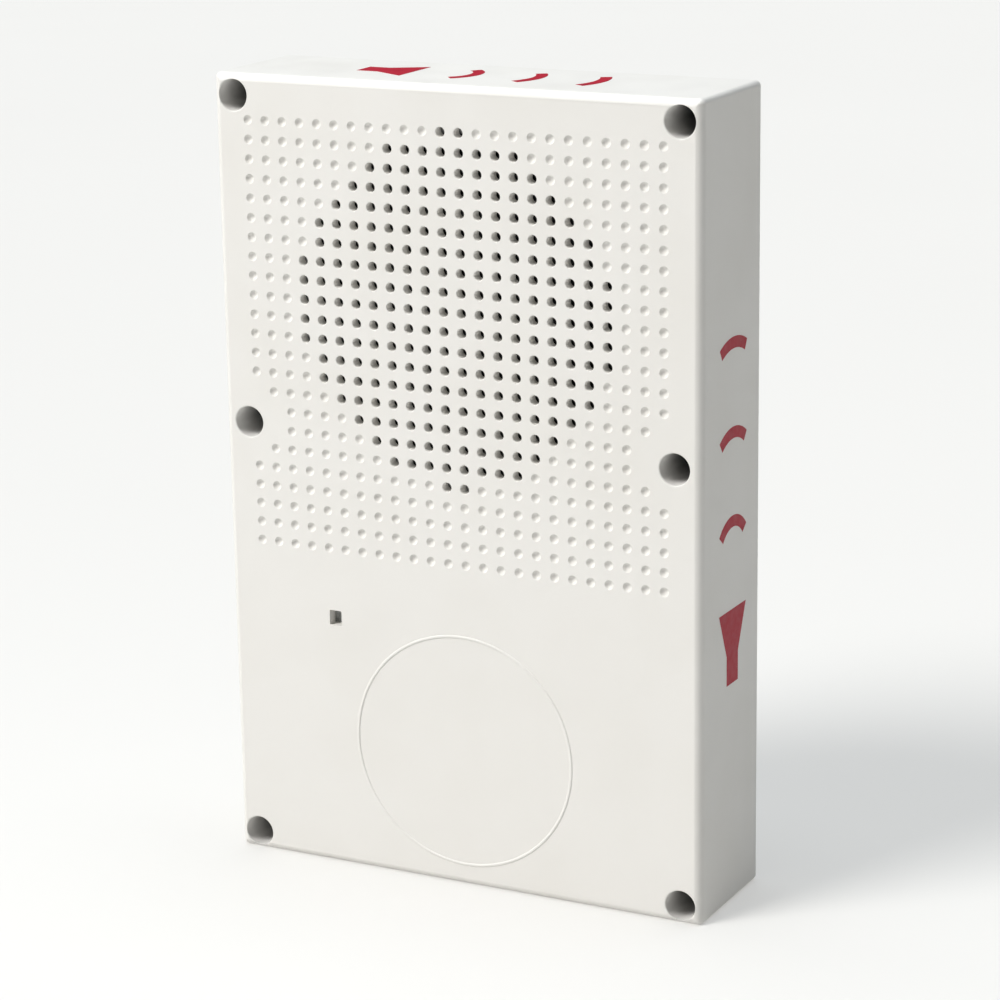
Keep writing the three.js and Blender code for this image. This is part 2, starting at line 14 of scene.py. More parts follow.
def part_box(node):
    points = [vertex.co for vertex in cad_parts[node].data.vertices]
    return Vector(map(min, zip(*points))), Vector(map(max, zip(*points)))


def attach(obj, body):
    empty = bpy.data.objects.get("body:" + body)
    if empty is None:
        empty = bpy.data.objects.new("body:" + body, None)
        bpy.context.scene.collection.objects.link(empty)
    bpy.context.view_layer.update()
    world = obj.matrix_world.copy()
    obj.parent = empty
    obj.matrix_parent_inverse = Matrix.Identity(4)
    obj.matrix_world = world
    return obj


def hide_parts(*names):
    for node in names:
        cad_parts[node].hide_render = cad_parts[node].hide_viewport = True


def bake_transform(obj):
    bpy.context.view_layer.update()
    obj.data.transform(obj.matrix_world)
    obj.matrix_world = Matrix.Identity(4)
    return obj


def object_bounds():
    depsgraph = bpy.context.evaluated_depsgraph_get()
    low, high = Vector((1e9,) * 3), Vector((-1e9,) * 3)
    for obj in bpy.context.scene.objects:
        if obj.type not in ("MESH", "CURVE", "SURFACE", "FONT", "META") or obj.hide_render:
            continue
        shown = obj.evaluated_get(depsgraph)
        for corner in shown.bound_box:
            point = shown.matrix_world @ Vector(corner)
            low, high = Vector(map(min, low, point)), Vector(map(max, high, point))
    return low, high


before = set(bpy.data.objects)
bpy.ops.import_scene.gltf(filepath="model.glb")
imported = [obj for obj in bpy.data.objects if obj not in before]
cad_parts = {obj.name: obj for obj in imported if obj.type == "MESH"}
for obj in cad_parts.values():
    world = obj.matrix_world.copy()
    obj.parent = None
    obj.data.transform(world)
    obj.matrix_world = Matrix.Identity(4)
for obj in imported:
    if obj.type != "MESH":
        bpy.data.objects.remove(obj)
cad_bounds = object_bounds()

MM = 1000.0
FULL_TURN = 2 * math.pi
WAVE_SCALE = math.pi / 10


# ------------------------------------------------------------------ places taken from the frame


def corners(node):
    """Lowest and highest corner of a CAD node, in millimetres."""
    low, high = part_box(node)
    return low * MM, high * MM


def middle(node):
    low, high = corners(node)
    return (low + high) / 2


def round_part(node):
    """(x, z) of the axis of a round node, its radius, and its front and back depths."""
    low, high = corners(node)
    at = (low + high) / 2
    return at.x, at.z, (high.x - low.x) / 2, low.y, high.y


def screw_places(group):
    """Middles of the four screws of a group."""
    return [middle(f"{group}_screw_{i}") for i in range(1, 5)]


cover_low, cover_high = corners("front_cover")
FRONT = cover_low.y
HALF_WIDTH = cover_high.x
HALF_HEIGHT = cover_high.z
SPEAKER_X = middle("speaker_cone").x
SPEAKER_Z = middle("speaker_cone").z
PLACES = ("top_left", "top_right", "middle_left", "middle_right", "bottom_left", "bottom_right")
COVER_SCREWS = [middle(f"cover_screw_{place}") for place in PLACES]

WALL = 3.0
LIP = 1.5
CORNER_RADIUS = 1.4
FRONT_EDGE = 2.4
LEDGE = corners("cover_gasket")[0].y - 0.3
PITCH = 5.08
HOLE_RADIUS = 1.25
HOLE_FIELD = 8.8 * PITCH
RECESS_RADIUS = 4.1
RECESS_FLOOR = -12.0
TOWER_RADIUS = 5.6
SHANK_HOLE = 1.9


# ------------------------------------------------------------------ solids
# A solid is (points, faces): points in millimetres and faces as tuples of point numbers.


def loft(rings, closed=False):
    """Skin over equal loops of points. An open one is capped at both ends."""
    count = len(rings[0])
    points = [point for ring in rings for point in ring]
    faces = []
    for i in range(len(rings) if closed else len(rings) - 1):
        a = i * count
        b = (i + 1) % len(rings) * count
        faces += [(a + k, a + (k + 1) % count, b + (k + 1) % count, b + k) for k in range(count)]
    if not closed:
        faces.append(tuple(reversed(range(count))))
        faces.append(tuple(range(len(points) - count, len(points))))
    return points, faces


def merged(*solids):
    """Several solids that don't touch each other, as one."""
    points, faces = [], []
    for more, shapes in solids:
        first = len(points)
        points += more
        faces += [tuple(first + i for i in face) for face in shapes]
    return points, faces


def moved(solid, x=0.0, y=0.0, z=0.0):
    return [(a + x, b + y, c + z) for a, b, c in solid[0]], solid[1]


def turned_about_y(solid, angle):
    """Turns a solid about the Y axis through the origin, from +X towards +Z."""
    c, s = math.cos(angle), math.sin(angle)
    return [(x * c - z * s, y, x * s + z * c) for x, y, z in solid[0]], solid[1]


def softened(profile, closed=False, steps=4):
    """A profile of (radius, y) points. A third number rounds that corner by about as much."""
    result = []
    count = len(profile)
    for i, corner in enumerate(profile):
        here = Vector(corner[:2])
        at_end = not closed and i in (0, count - 1)
        if len(corner) < 3 or at_end:
            result.append(tuple(here))
            continue
        before = Vector(profile[i - 1][:2]) - here
        after = Vector(profile[(i + 1) % count][:2]) - here
        reach = min(corner[2], 0.49 * before.length, 0.49 * after.length)
        start = here + before.normalized() * reach
        end = here + after.normalized() * reach
        for k in range(steps + 1):
            t = k / steps
            result.append(tuple(start * (1 - t) ** 2 + here * 2 * t * (1 - t) + end * t * t))
    return result


def circle(radius, y, x=0.0, z=0.0, sides=48):
    angles = [FULL_TURN * k / sides for k in range(sides)]
    return [(x + radius * math.cos(a), y, z + radius * math.sin(a)) for a in angles]


def turned(profile, x=0.0, z=0.0, sides=48, closed=False):
    """Body of revolution about an axis along Y through (x, z)."""
    rings = [circle(radius, y, x, z, sides) for radius, y in softened(profile, closed)]
    return loft(rings, closed)


def bar(radius, front, back, x=0.0, z=0.0, sides=48, edge=0.0):
    """Round bar along Y, with its two edges rounded."""
    rim = (radius, front, edge) if edge else (radius, front)
    foot = (radius, back, edge) if edge else (radius, back)
    return turned([(0, front), rim, foot, (0, back)], x, z, sides)


def sector(profile, first, last, steps, x, z):
    """Part of a ring about an axis along Y, between two angles, from a closed profile."""
    rings = []
    for i in range(steps + 1):
        a = first + (last - first) * i / steps
        rings.append([(x + r * math.cos(a), y, z + r * math.sin(a)) for r, y in profile])
    return loft(rings)


def sheet_profile(front, thickness):
    """Closed profile of a thin sheet, from the line of its front side."""
    return list(front) + [(r, y + thickness) for r, y in reversed(front)]


def outline(half_width, half_height, radius, steps):
    """Rounded rectangle in the X-Z plane, anticlockwise from the front."""
    loop = []
    for quarter, (sx, sz) in enumerate([(1, 1), (-1, 1), (-1, -1), (1, -1)]):
        centre = (sx * (half_width - radius), sz * (half_height - radius))
        for k in range(steps + 1):
            a = math.pi / 2 * (quarter + k / steps)
            loop.append((centre[0] + radius * math.cos(a), centre[1] + radius * math.sin(a)))
    return loop


def slab(half_width, half_height, radius, front, back, front_edge=0.0, back_edge=0.0,
         x=0.0, z=0.0, steps=6, edge_steps=6):
    """Rounded rectangular plate whose front and back edges are rounded too."""
    levels = [(front_edge, front)] if front_edge else []
    for k in range(1, edge_steps):
        a = math.pi / 2 * k / edge_steps
        if front_edge:
            levels.append((front_edge * (1 - math.sin(a)), front + front_edge * (1 - math.cos(a))))
    levels += [(0.0, front + front_edge), (0.0, back - back_edge)]
    for k in range(1, edge_steps):
        a = math.pi / 2 * k / edge_steps
        if back_edge:
            levels.append((back_edge * (1 - math.cos(a)), back - back_edge * (1 - math.sin(a))))
    if back_edge:
        levels.append((back_edge, back))
    rings = []
    for inset, y in levels:
        corner = max(radius - inset, 0.02)
        loop = outline(half_width - inset, half_height - inset, corner, steps)
        rings.append([(x + a, y, z + b) for a, b in loop])
    return loft(rings)


def block(width, height, front, back, x=0.0, z=0.0, edge=0.15):
    """Box with slightly rounded edges, centred on (x, z)."""
    return slab(width / 2, height / 2, edge, front, back, edge, edge, x, z, 3, 3)


def plain_block(width, height, front, back, x=0.0, z=0.0):
    return slab(width / 2, height / 2, 0.02, front, back, x=x, z=z, steps=1, edge_steps=1)


def hull_between(loop, front, back):
    """Any outline of (x, z) points pushed through from one depth to another."""
    return loft([[(x, y, z) for x, z in loop] for y in (front, back)])


def tube(route, radius, sides=14):
    """Round tube along a list of points, closed at both ends."""
    points = [Vector(p) for p in route]
    side = Vector((1, 0.013, 0.007))
    rings = []
    for i, point in enumerate(points):
        ahead = points[min(i + 1, len(points) - 1)] - points[max(i - 1, 0)]
        ahead.normalize()
        side = (side - ahead * side.dot(ahead)).normalized()
        other = ahead.cross(side)
        turns = [FULL_TURN * k / sides for k in range(sides)]
        rings.append([tuple(point + (side * math.cos(a) + other * math.sin(a)) * radius)
                      for a in turns])
    return loft(rings)


def smooth_route(points, steps=8):
    """Catmull-Rom curve through points."""
    ends = [Vector(points[0]) * 2 - Vector(points[1]), Vector(points[-1]) * 2 - Vector(points[-2])]
    knots = [ends[0], *[Vector(p) for p in points], ends[1]]
    result = []
    for a, b, c, d in zip(knots, knots[1:], knots[2:], knots[3:]):
        for k in range(steps):
            t = k / steps
            result.append((b * 2 + (c - a) * t + (a * 2 - b * 5 + c * 4 - d) * t * t
                           + (b * 3 - a - c * 3 + d) * t ** 3) / 2)
    return result + [Vector(points[-1])]


def thread(radius, depth, pitch, front, back, x, z, sides=32):
    """Round bar along Y with a screw thread on it, running out to nothing at both ends."""
    rows = int((back - front) / pitch * 6)
    rings = []
    for row in range(rows + 1):
        y = front + (back - front) * row / rows
        fade = min(1.0, (y - front) / pitch, (back - y) / pitch)
        ring = []
        for k in range(sides):
            phase = (y / pitch - k / sides) % 1.0
            r = radius - depth * fade * abs(2 * phase - 1)
            a = FULL_TURN * k / sides
            ring.append((x + r * math.cos(a), y, z + r * math.sin(a)))
        rings.append(ring)
    return loft(rings)


def to_object(name, solid):
    points, faces = solid
    mesh = bpy.data.meshes.new(name)
    mesh.from_pydata([(x / MM, y / MM, z / MM) for x, y, z in points], [], faces)
    work = bmesh.new()
    work.from_mesh(mesh)
    bmesh.ops.remove_doubles(work, verts=work.verts, dist=1e-7)
    bmesh.ops.recalc_face_normals(work, faces=work.faces)
    work.to_mesh(mesh)
    work.free()
    made = bpy.data.objects.new(name, mesh)
    bpy.context.scene.collection.objects.link(made)
    return made


def combined(base, tools, operation):
    """The base solid after a boolean with each tool in turn."""
    target = to_object("target", base)
    helpers = [to_object("tool", tool) for tool in tools]
    for helper in helpers:
        modifier = target.modifiers.new("combine", "BOOLEAN")
        modifier.operation = operation
        modifier.solver = "MANIFOLD"
        modifier.object = helper
    graph = bpy.context.evaluated_depsgraph_get()
    evaluated = target.evaluated_get(graph)
    mesh = evaluated.to_mesh()
    points = [tuple(v.co * MM) for v in mesh.vertices]
    faces = [tuple(p.vertices) for p in mesh.polygons]
    evaluated.to_mesh_clear()
    for helper in [target, *helpers]:
        old = helper.data
        bpy.data.objects.remove(helper)
        bpy.data.meshes.remove(old)
    return points, faces


def cut(base, *tools):
    return combined(base, tools, "DIFFERENCE")


def join(base, *tools):
    return combined(base, tools, "UNION")


# ------------------------------------------------------------------ pieces


def is_flat(face):
    """True for a face that looks straight along an axis."""
    return max(abs(x) for x in face.normal) > 0.99999


def shade(mesh, crease):
    """Smooth shading with sharp corners. Flats are kept apart, so that they stay evenly lit."""
    mesh.shade_smooth()
    work = bmesh.new()
    work.from_mesh(mesh)
    work.normal_update()
    limit = math.radians(crease)
    for edge in work.edges:
        if len(edge.link_faces) == 2:
            one, other = edge.link_faces
            bordering = is_flat(one) != is_flat(other)
            edge.smooth = not bordering and edge.calc_face_angle(0) < limit
    work.to_mesh(mesh)
    work.free()


def piece(name, solid, body, material, replaces=(), crease=35):
    """A finished piece of the siren, which moves with a CAD body."""
    made = to_object(name, solid)
    shade(made.data, crease)
    made.data.materials.append(material)
    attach(made, body)
    if replaces:
        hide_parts(*replaces)
    return made


def keep(node, material, edge=0.2, segments=2):
    """A CAD node that stays, with a better material and rounded edges."""
    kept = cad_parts[node]
    kept.data.materials.clear()
    kept.data.materials.append(material)
    if edge:
        bevel = kept.modifiers.new("edges", "BEVEL")
        bevel.width = edge / MM
        bevel.segments = segments
        bevel.limit_method = "ANGLE"
        bevel.angle_limit = math.radians(40)
        bevel.harden_normals = True
    return kept


# ------------------------------------------------------------------ materials


def wired(tree, kind, inputs, **settings):
    """A shader node. Each of its inputs gets a number or colour, or a link from another node."""
    node = tree.nodes.new(f"ShaderNode{kind}")
    for name, value in settings.items():
        setattr(node, name, value)
    for socket, value in inputs.items():
        if isinstance(value, bpy.types.NodeSocket):
            tree.links.new(value, node.inputs[socket])
        else:
            node.inputs[socket].default_value = value
    return node


class Finish:
    """A Principled material whose colour, gloss and relief come from procedural textures."""

    def __init__(self, name, colour, roughness, metallic=0.0):
        self.material = bpy.data.materials.new(name)
        self.material.use_nodes = True
        self.tree = self.material.node_tree
        self.shader = self.tree.nodes["Principled BSDF"]
        self.colour = (*colour, 1)
        self.set("Metallic", metallic).set("Roughness", roughness).set("Base Color", self.colour)
        self.place = wired(self.tree, "TexCoord", {}).outputs["Object"]
        self.last_bump = None

    def set(self, socket, value):
        self.shader.inputs[socket].default_value = value
        return self

    def drive(self, socket, value):
        self.tree.links.new(value, self.shader.inputs[socket])
        return self

    def stretched(self, stretch, offset=(0, 0, 0)):
        inputs = {"Vector": self.place, "Scale": stretch, "Location": offset}
        return wired(self.tree, "Mapping", inputs).outputs["Vector"]

    def noise(self, size, detail=3.0, stretch=(1, 1, 1)):
        """Noise whose spots are about size millimetres across."""
        inputs = {"Vector": self.stretched(stretch), "Scale": MM / size, "Detail": detail}
        return wired(self.tree, "TexNoise", inputs).outputs["Fac"]

    def waves(self, pitch, direction="X", distortion=0.0):
        """Parallel waves, pitch millimetres apart."""
        inputs = {"Vector": self.place, "Scale": MM / pitch * WAVE_SCALE, "Distortion": distortion}
        return wired(self.tree, "TexWave", inputs, wave_type="BANDS",
                     bands_direction=direction).outputs["Fac"]

    def rings(self, pitch, x, z):
        """Circular waves about an axis along Y, pitch millimetres apart."""
        place = self.stretched((1, 1, 1), (-x / MM, 0, -z / MM))
        inputs = {"Vector": place, "Scale": MM / pitch * WAVE_SCALE}
        return wired(self.tree, "TexWave", inputs, wave_type="RINGS",
                     rings_direction="Y").outputs["Fac"]

    def narrowed(self, factor, low, high, start=0.0, end=1.0):
        """Stretches the part of a factor between low and high to start..end."""
        inputs = {"Value": factor, "From Min": low, "From Max": high, "To Min": start, "To Max": end}
        return wired(self.tree, "MapRange", inputs).outputs["Result"]

    def depth(self, front, back):
        """0 at one depth and 1 at another, in millimetres along Y."""
        place = wired(self.tree, "SeparateXYZ", {"Vector": self.place})
        return self.narrowed(place.outputs["Y"], front / MM, back / MM)

    def tint(self, factor, colour):
        """Mixes another colour in by a texture."""
        inputs = {0: factor, 6: self.colour, 7: (*colour, 1)}
        self.colour = wired(self.tree, "Mix", inputs, data_type="RGBA").outputs[2]
        return self.drive("Base Color", self.colour)

    def gloss(self, factor, low, high):
        """Roughness between two values, by a texture."""
        return self.drive("Roughness", self.narrowed(factor, 0.3, 0.7, low, high))

    def relief(self, height, depth, strength=1.0):
        """Adds a bump about depth millimetres deep."""
        inputs = {"Height": height, "Distance": depth / MM, "Strength": strength}
        if self.last_bump:
            inputs["Normal"] = self.last_bump
        self.last_bump = wired(self.tree, "Bump", inputs).outputs["Normal"]
        return self.drive("Normal", self.last_bump)

    def spots(self, size, detail, low, high, colour, stretch=(1, 1, 1)):
        """Noise between low and high mixes another colour in."""
        return self.tint(self.narrowed(self.noise(size, detail, stretch), low, high), colour)

    def sheen(self, size, detail, low, high):
        """Noise moves the roughness between two values."""
        return self.gloss(self.noise(size, detail), low, high)

    def grain(self, size, detail, depth, strength=1.0):
        """Noise as relief."""
        return self.relief(self.noise(size, detail), depth, strength)


def moulded(name, colour, darker, roughness, depth_shade=None):
    """Moulded plastic: fine spark-eroded texture and faint flow marks. A depth range adds painted shade,
    darker with depth.
    """
    made = Finish(name, colour, roughness).spots(34, 2, 0.42, 0.72, darker)
    made.sheen(9, 4, roughness - 0.05, roughness + 0.06)
    made.grain(0.32, 2, 0.012).grain(7, 2, 0.012, 0.35)
    made.set("Specular IOR Level", 0.35)
    # Painted shade: the colour goes towards dark grey with depth, standing in for the shade in deep
    # hollows.
    if depth_shade:
        made.tint(made.depth(*depth_shade), (0.22, 0.22, 0.22))
    return made.material


def plated(name, colour, stain, roughness):
    """Plated or bare metal: cloudy tone, and scratches along one direction."""
    made = Finish(name, colour, roughness, 1.0).spots(3.5, 4, 0.45, 0.75, stain)
    made.sheen(1.2, 3, roughness - 0.08, roughness + 0.12)
    made.relief(made.noise(0.25, 3, (1, 0.08, 1)), 0.006, 0.6)
    return made.material


def plain_lacquer(name, colour, lighter, roughness):
    made = Finish(name, colour, roughness).spots(4, 4, 0.45, 0.75, lighter)
    made.sheen(3, 3, roughness - 0.06, roughness + 0.08).grain(0.6, 2, 0.008)
    return made.material


def copper_wire():
    made = Finish("copper", (0.62, 0.26, 0.12), 0.28, 1.0)
    turns = made.waves(0.25, "Y")
    made.tint(made.narrowed(turns, 0.0, 0.6), (0.70, 0.32, 0.16))
    made.relief(turns, 0.06)
    return made.material


def cone_paper():
    """Pressed black paper with short fibres and faint turning rings."""
    made = Finish("paper_cone", (0.035, 0.035, 0.037), 0.85)
    fibres = made.noise(0.5, 5, (1, 1, 0.25))
    made.tint(made.narrowed(fibres, 0.5, 0.62), (0.075, 0.075, 0.078))
    made.relief(fibres, 0.05)
    made.relief(made.rings(1.1, SPEAKER_X, SPEAKER_Z), 0.03)
    return made.material


def woven_cloth():
    made = Finish("spider_cloth", (0.45, 0.30, 0.09), 0.8)
    warp = made.waves(0.5, "X", 0.4)
    weft = made.waves(0.5, "Z", 0.4)
    made.tint(made.narrowed(warp, 0.0, 0.5), (0.52, 0.36, 0.13))
    made.tint(made.narrowed(weft, 0.6, 1.0), (0.33, 0.21, 0.06))
    made.relief(warp, 0.06)
    made.relief(weft, 0.06)
    return made.material


def board_laminate():
    """Green lacquered glass-fibre laminate, with the weave just showing."""
    made = Finish("board_laminate", (0.016, 0.12, 0.05), 0.28)
    weave_x = made.waves(0.55, "X", 0.3)
    weave_z = made.waves(0.55, "Z", 0.3)
    made.tint(made.narrowed(weave_x, 0.55, 1.0), (0.020, 0.14, 0.062))
    made.tint(made.narrowed(weave_z, 0.75, 1.0), (0.013, 0.10, 0.045))
    made.sheen(5, 3, 0.22, 0.36)
    made.relief(weave_x, 0.006)
    return made.material


def laminations():
    """Edges of stacked iron sheets, 0.5 mm each, with spots of rust-brown varnish."""
    made = Finish("lamination_steel", (0.24, 0.24, 0.25), 0.45, 0.85)
    sheets = made.waves(0.5, "Y", 0.05)
    made.tint(made.narrowed(sheets, 0.0, 0.35), (0.16, 0.16, 0.17))
    made.spots(2.2, 4, 0.56, 0.72, (0.13, 0.10, 0.075))
    made.sheen(1.5, 3, 0.38, 0.6)
    made.relief(sheets, 0.06)
    return made.material


def tape():
    """Yellow polyester tape over the winding, with the wire's turns faintly showing."""
    made = Finish("winding_tape", (0.62, 0.42, 0.045), 0.3)
    turns = made.waves(0.9, "Z", 1.2)
    made.tint(made.narrowed(turns, 0.2, 1.0), (0.50, 0.33, 0.03))
    made.sheen(2, 3, 0.22, 0.4)
    made.relief(turns, 0.03)
    return made.material


cover_plastic = moulded("cover_plastic", (0.755, 0.742, 0.712), (0.735, 0.72, 0.685), 0.5)
# Darker than the cover and darker still with depth: painted shade for the inside of the screw recesses.
bore_shade_plastic = moulded("bore_shade_plastic", (0.70, 0.69, 0.67), (0.66, 0.65, 0.63), 0.6, (-34.0, -20.0))
base_plastic = moulded("base_plastic", (0.30, 0.31, 0.32), (0.285, 0.295, 0.305), 0.5)
black_plastic = moulded("black_plastic", (0.025, 0.026, 0.03), (0.018, 0.018, 0.02), 0.45)
terminal_plastic = moulded("terminal_plastic", (0.04, 0.14, 0.30), (0.03, 0.12, 0.27), 0.4)
dial_plastic = moulded("dial_plastic", (0.78, 0.75, 0.66), (0.74, 0.70, 0.60), 0.4)

stainless_steel = plated("stainless_steel", (0.62, 0.62, 0.63), (0.52, 0.52, 0.54), 0.3)
zinc_steel = plated("zinc_steel", (0.60, 0.61, 0.62), (0.50, 0.47, 0.40), 0.34)
brass = plated("brass", (0.72, 0.52, 0.22), (0.58, 0.40, 0.16), 0.3)
tinned = plated("tinned_wire", (0.70, 0.70, 0.70), (0.55, 0.55, 0.57), 0.22)
aluminium = plated("aluminium_can", (0.78, 0.78, 0.79), (0.70, 0.70, 0.72), 0.28)

sleeve_blue = plain_lacquer("capacitor_sleeve", (0.02, 0.03, 0.10), (0.03, 0.045, 0.13), 0.25)
wire_black = plain_lacquer("wire_black", (0.015, 0.015, 0.016), (0.03, 0.03, 0.032), 0.4)
wire_red = plain_lacquer("wire_red", (0.42, 0.015, 0.02), (0.5, 0.03, 0.03), 0.38)
track_green = plain_lacquer("track_green", (0.03, 0.20, 0.085), (0.035, 0.22, 0.095), 0.26)
legend_white = plain_lacquer("legend_white", (0.72, 0.73, 0.71), (0.78, 0.79, 0.77), 0.5)
resistor_tan = plain_lacquer("resistor_tan", (0.56, 0.42, 0.24), (0.62, 0.48, 0.29), 0.4)
band_brown = plain_lacquer("band_brown", (0.16, 0.06, 0.025), (0.19, 0.08, 0.035), 0.4)
ink_black = plain_lacquer("ink_black", (0.02, 0.02, 0.022), (0.035, 0.035, 0.038), 0.5)

signal_red = (Finish("signal_red", (0.40, 0.012, 0.03), 0.5)
              .spots(5, 4, 0.5, 0.8, (0.33, 0.009, 0.024)).sheen(2, 4, 0.45, 0.6)
              .set("Specular IOR Level", 0.3).grain(0.35, 2, 0.012).material)
foam = (Finish("foam_rubber", (0.05, 0.05, 0.055), 0.9)
        .spots(0.6, 4, 0.45, 0.65, (0.024, 0.024, 0.026)).grain(0.45, 4, 0.09).material)
pale_foam = (Finish("grey_foam", (0.34, 0.34, 0.345), 0.9)
             .spots(0.7, 4, 0.45, 0.65, (0.25, 0.25, 0.255)).grain(0.45, 4, 0.07).material)
rubber = (Finish("black_rubber", (0.022, 0.022, 0.023), 0.6)
          .spots(6, 4, 0.5, 0.8, (0.04, 0.04, 0.041)).sheen(3, 4, 0.5, 0.72)
          .grain(0.3, 2, 0.01).material)
# Stoved paint on pressed steel, with a faint orange peel.
black_steel = (Finish("black_steel", (0.02, 0.021, 0.023), 0.35)
               .spots(8, 4, 0.5, 0.8, (0.032, 0.033, 0.036)).sheen(4, 3, 0.28, 0.42)
               .grain(0.9, 2, 0.014).material)
ferrite_grey = (Finish("ferrite", (0.055, 0.055, 0.058), 0.55)
                .spots(0.4, 4, 0.5, 0.62, (0.10, 0.10, 0.105)).sheen(2, 4, 0.45, 0.65)
                .grain(0.5, 4, 0.03).material)
# Brown phenolic paper board.
fibre_board = (Finish("fibre_board", (0.33, 0.20, 0.10), 0.5)
               .spots(0.8, 5, 0.45, 0.7, (0.24, 0.14, 0.07), (0.3, 1, 1))
               .grain(0.4, 3, 0.01).material)
clear = (Finish("clear_plastic", (0.86, 0.89, 0.90), 0.08)
         .sheen(2, 3, 0.05, 0.14).grain(3, 2, 0.004).set("Alpha", 0.28).material)
copper = copper_wire()
paper = cone_paper()
cloth = woven_cloth()
laminate = board_laminate()
lamination_steel = laminations()
winding_tape = tape()


# ------------------------------------------------------------------ front cover

MOUTH_STEP = 0.004


def mouth(radius, flare, steps):
    """Profile of a cutter that leaves a rounded rim, from outside the face down to the wall."""
    points = [(radius + flare, FRONT - 1), (radius + flare, FRONT + MOUTH_STEP)]
    for k in range(1, steps + 1):
        a = math.pi / 2 * k / steps
        points.append((radius + flare * (1 - math.sin(a)), FRONT + flare * (1 - math.cos(a))))
    return points


def hole_cutter():
    flare = 0.22
    rim = mouth(HOLE_RADIUS, flare, 3)
    back = FRONT + WALL + 1
    return turned([(0, FRONT - 1), *rim, (HOLE_RADIUS, back), (0, back)], sides=24)


def dimple_cutter():
    """Shallow round bowl with a softened rim."""
    radius, depth, flare = 1.2, 0.8, 0.14
    sphere = (radius ** 2 + depth ** 2) / (2 * depth)
    bowl = []
    steps = 5
    for k in range(steps + 1):
        r = radius * (1 - k / steps)
        bowl.append((r, FRONT + flare * 0.5 + math.sqrt(sphere ** 2 - r ** 2) - sphere + depth))
    rim = [(radius + flare, FRONT - 1), (radius + flare, FRONT + MOUTH_STEP),
           (radius + flare * 0.4, FRONT + flare * 0.15)]
    return turned([(0, FRONT - 1), *rim, *bowl], sides=20)


def grille_places():
    """(x, z, is_hole) for each place of the square grid on the cover's upper part."""
    mid_screws = [middle(f"cover_screw_middle_{side}") for side in ("left", "right")]
    clear_of_screw = 9.7
    places = []
    for column in range(24):
        for row in range(-13, 10):
            dx = (column - 11.5) * PITCH
            dz = row * PITCH
            x, z = SPEAKER_X + dx, SPEAKER_Z + dz
            on_axis_end = abs(dx) < PITCH and abs(row) == 9
            is_hole = math.hypot(dx, dz) < HOLE_FIELD or on_axis_end
            if all(math.hypot(x - s.x, z - s.z) > clear_of_screw for s in mid_screws):
                places.append((x, z, is_hole))
    return places


def recess_cutter(x, z):
    """Deep recess for the screw head, with the shank's hole through its floor."""
    rim = mouth(RECESS_RADIUS, 0.35, 4)
    wall = [(RECESS_RADIUS, RECESS_FLOOR, 0.4), (SHANK_HOLE, RECESS_FLOOR)]
    end = LEDGE + 1
    return turned([(0, FRONT - 1), *rim, *wall, (SHANK_HOLE, end), (0, end)], x, z, 56)


def witness_ring():
    """Low raised ring left on the face by the mould insert behind it."""
    radius, x, z = 31.35, 0.7, -68.6
    half_width, height, root = 0.42, 0.2, 0.2
    ridge = [(radius - half_width, FRONT + root), (radius - half_width, FRONT + MOUTH_STEP)]
    for k in range(1, 6):
        a = math.pi * k / 6
        ridge.append((radius - half_width * math.cos(a), FRONT - height * math.sin(a)))
    ridge += [(radius + half_width, FRONT + MOUTH_STEP), (radius + half_width, FRONT + root)]
    return turned(ridge, x, z, 180, closed=True)


def front_cover():
    body = slab(HALF_WIDTH, HALF_HEIGHT, CORNER_RADIUS, FRONT, 0, FRONT_EDGE, 0.2, steps=8,
                edge_steps=10)
    inside = FRONT + WALL
    pocket = slab(HALF_WIDTH - WALL, HALF_HEIGHT - WALL, 1.5, inside, 1, 0.9)
    lip = slab(HALF_WIDTH - LIP, HALF_HEIGHT - LIP, 2, LEDGE, 1)
    towers = merged(*[bar(TOWER_RADIUS, FRONT + 1, LEDGE, s.x, s.z) for s in COVER_SCREWS])
    window = middle("window_lens")
    housing = cut(
        block(11.4, 11.8, inside - 1, inside + 2, window.x, window.z, 0.3),
        plain_block(8.6, 9.0, inside, inside + 3, window.x, window.z))
    shell = cut(body, pocket, lip)
    solid = join(shell, combined(towers, [body], "INTERSECT"), housing, witness_ring())
    recesses = merged(*[recess_cutter(s.x, s.z) for s in COVER_SCREWS])
    opening = slab(1.8, 2.05, 0.3, FRONT - 1, inside + 1, x=window.x, z=window.z)
    hole, dimple = hole_cutter(), dimple_cutter()
    grid = [moved(hole if is_hole else dimple, x, 0, z) for x, z, is_hole in grille_places()]
    return cut(solid, recesses, opening, merged(*grid))


def arc_mark(tip, outer, stroke, reach):
    """Outline of one sound-wave arc, bulging towards +u up to the tip."""
    centre, radius = tip - outer, outer - stroke
    half_angle = math.asin(reach / outer)
    steps = 20
    angles = [half_angle * (2 * k / steps - 1) for k in range(steps + 1)]
    far = [(centre + outer * math.cos(a), outer * math.sin(a)) for a in angles]
    near = [(centre + radius * math.cos(a), radius * math.sin(a)) for a in reversed(angles)]
    return far + near


def sound_marks(length, reach):
    """Outlines of a plain sounder symbol along u: a horn shape and three widening arcs."""
    start = -length / 2
    cell = length / 4
    neck, throat = reach * 0.42, start + cell * 0.34
    horn = [(start, -neck), (throat, -neck), (start + cell * 0.86, -reach),
            (start + cell * 0.86, reach), (throat, neck), (start, neck)]
    stroke = 3.0
    arcs = [arc_mark(start + cell * (k + 1.93), 11 + 3.5 * k, stroke, reach) for k in range(3)]
    return [horn, *arcs]


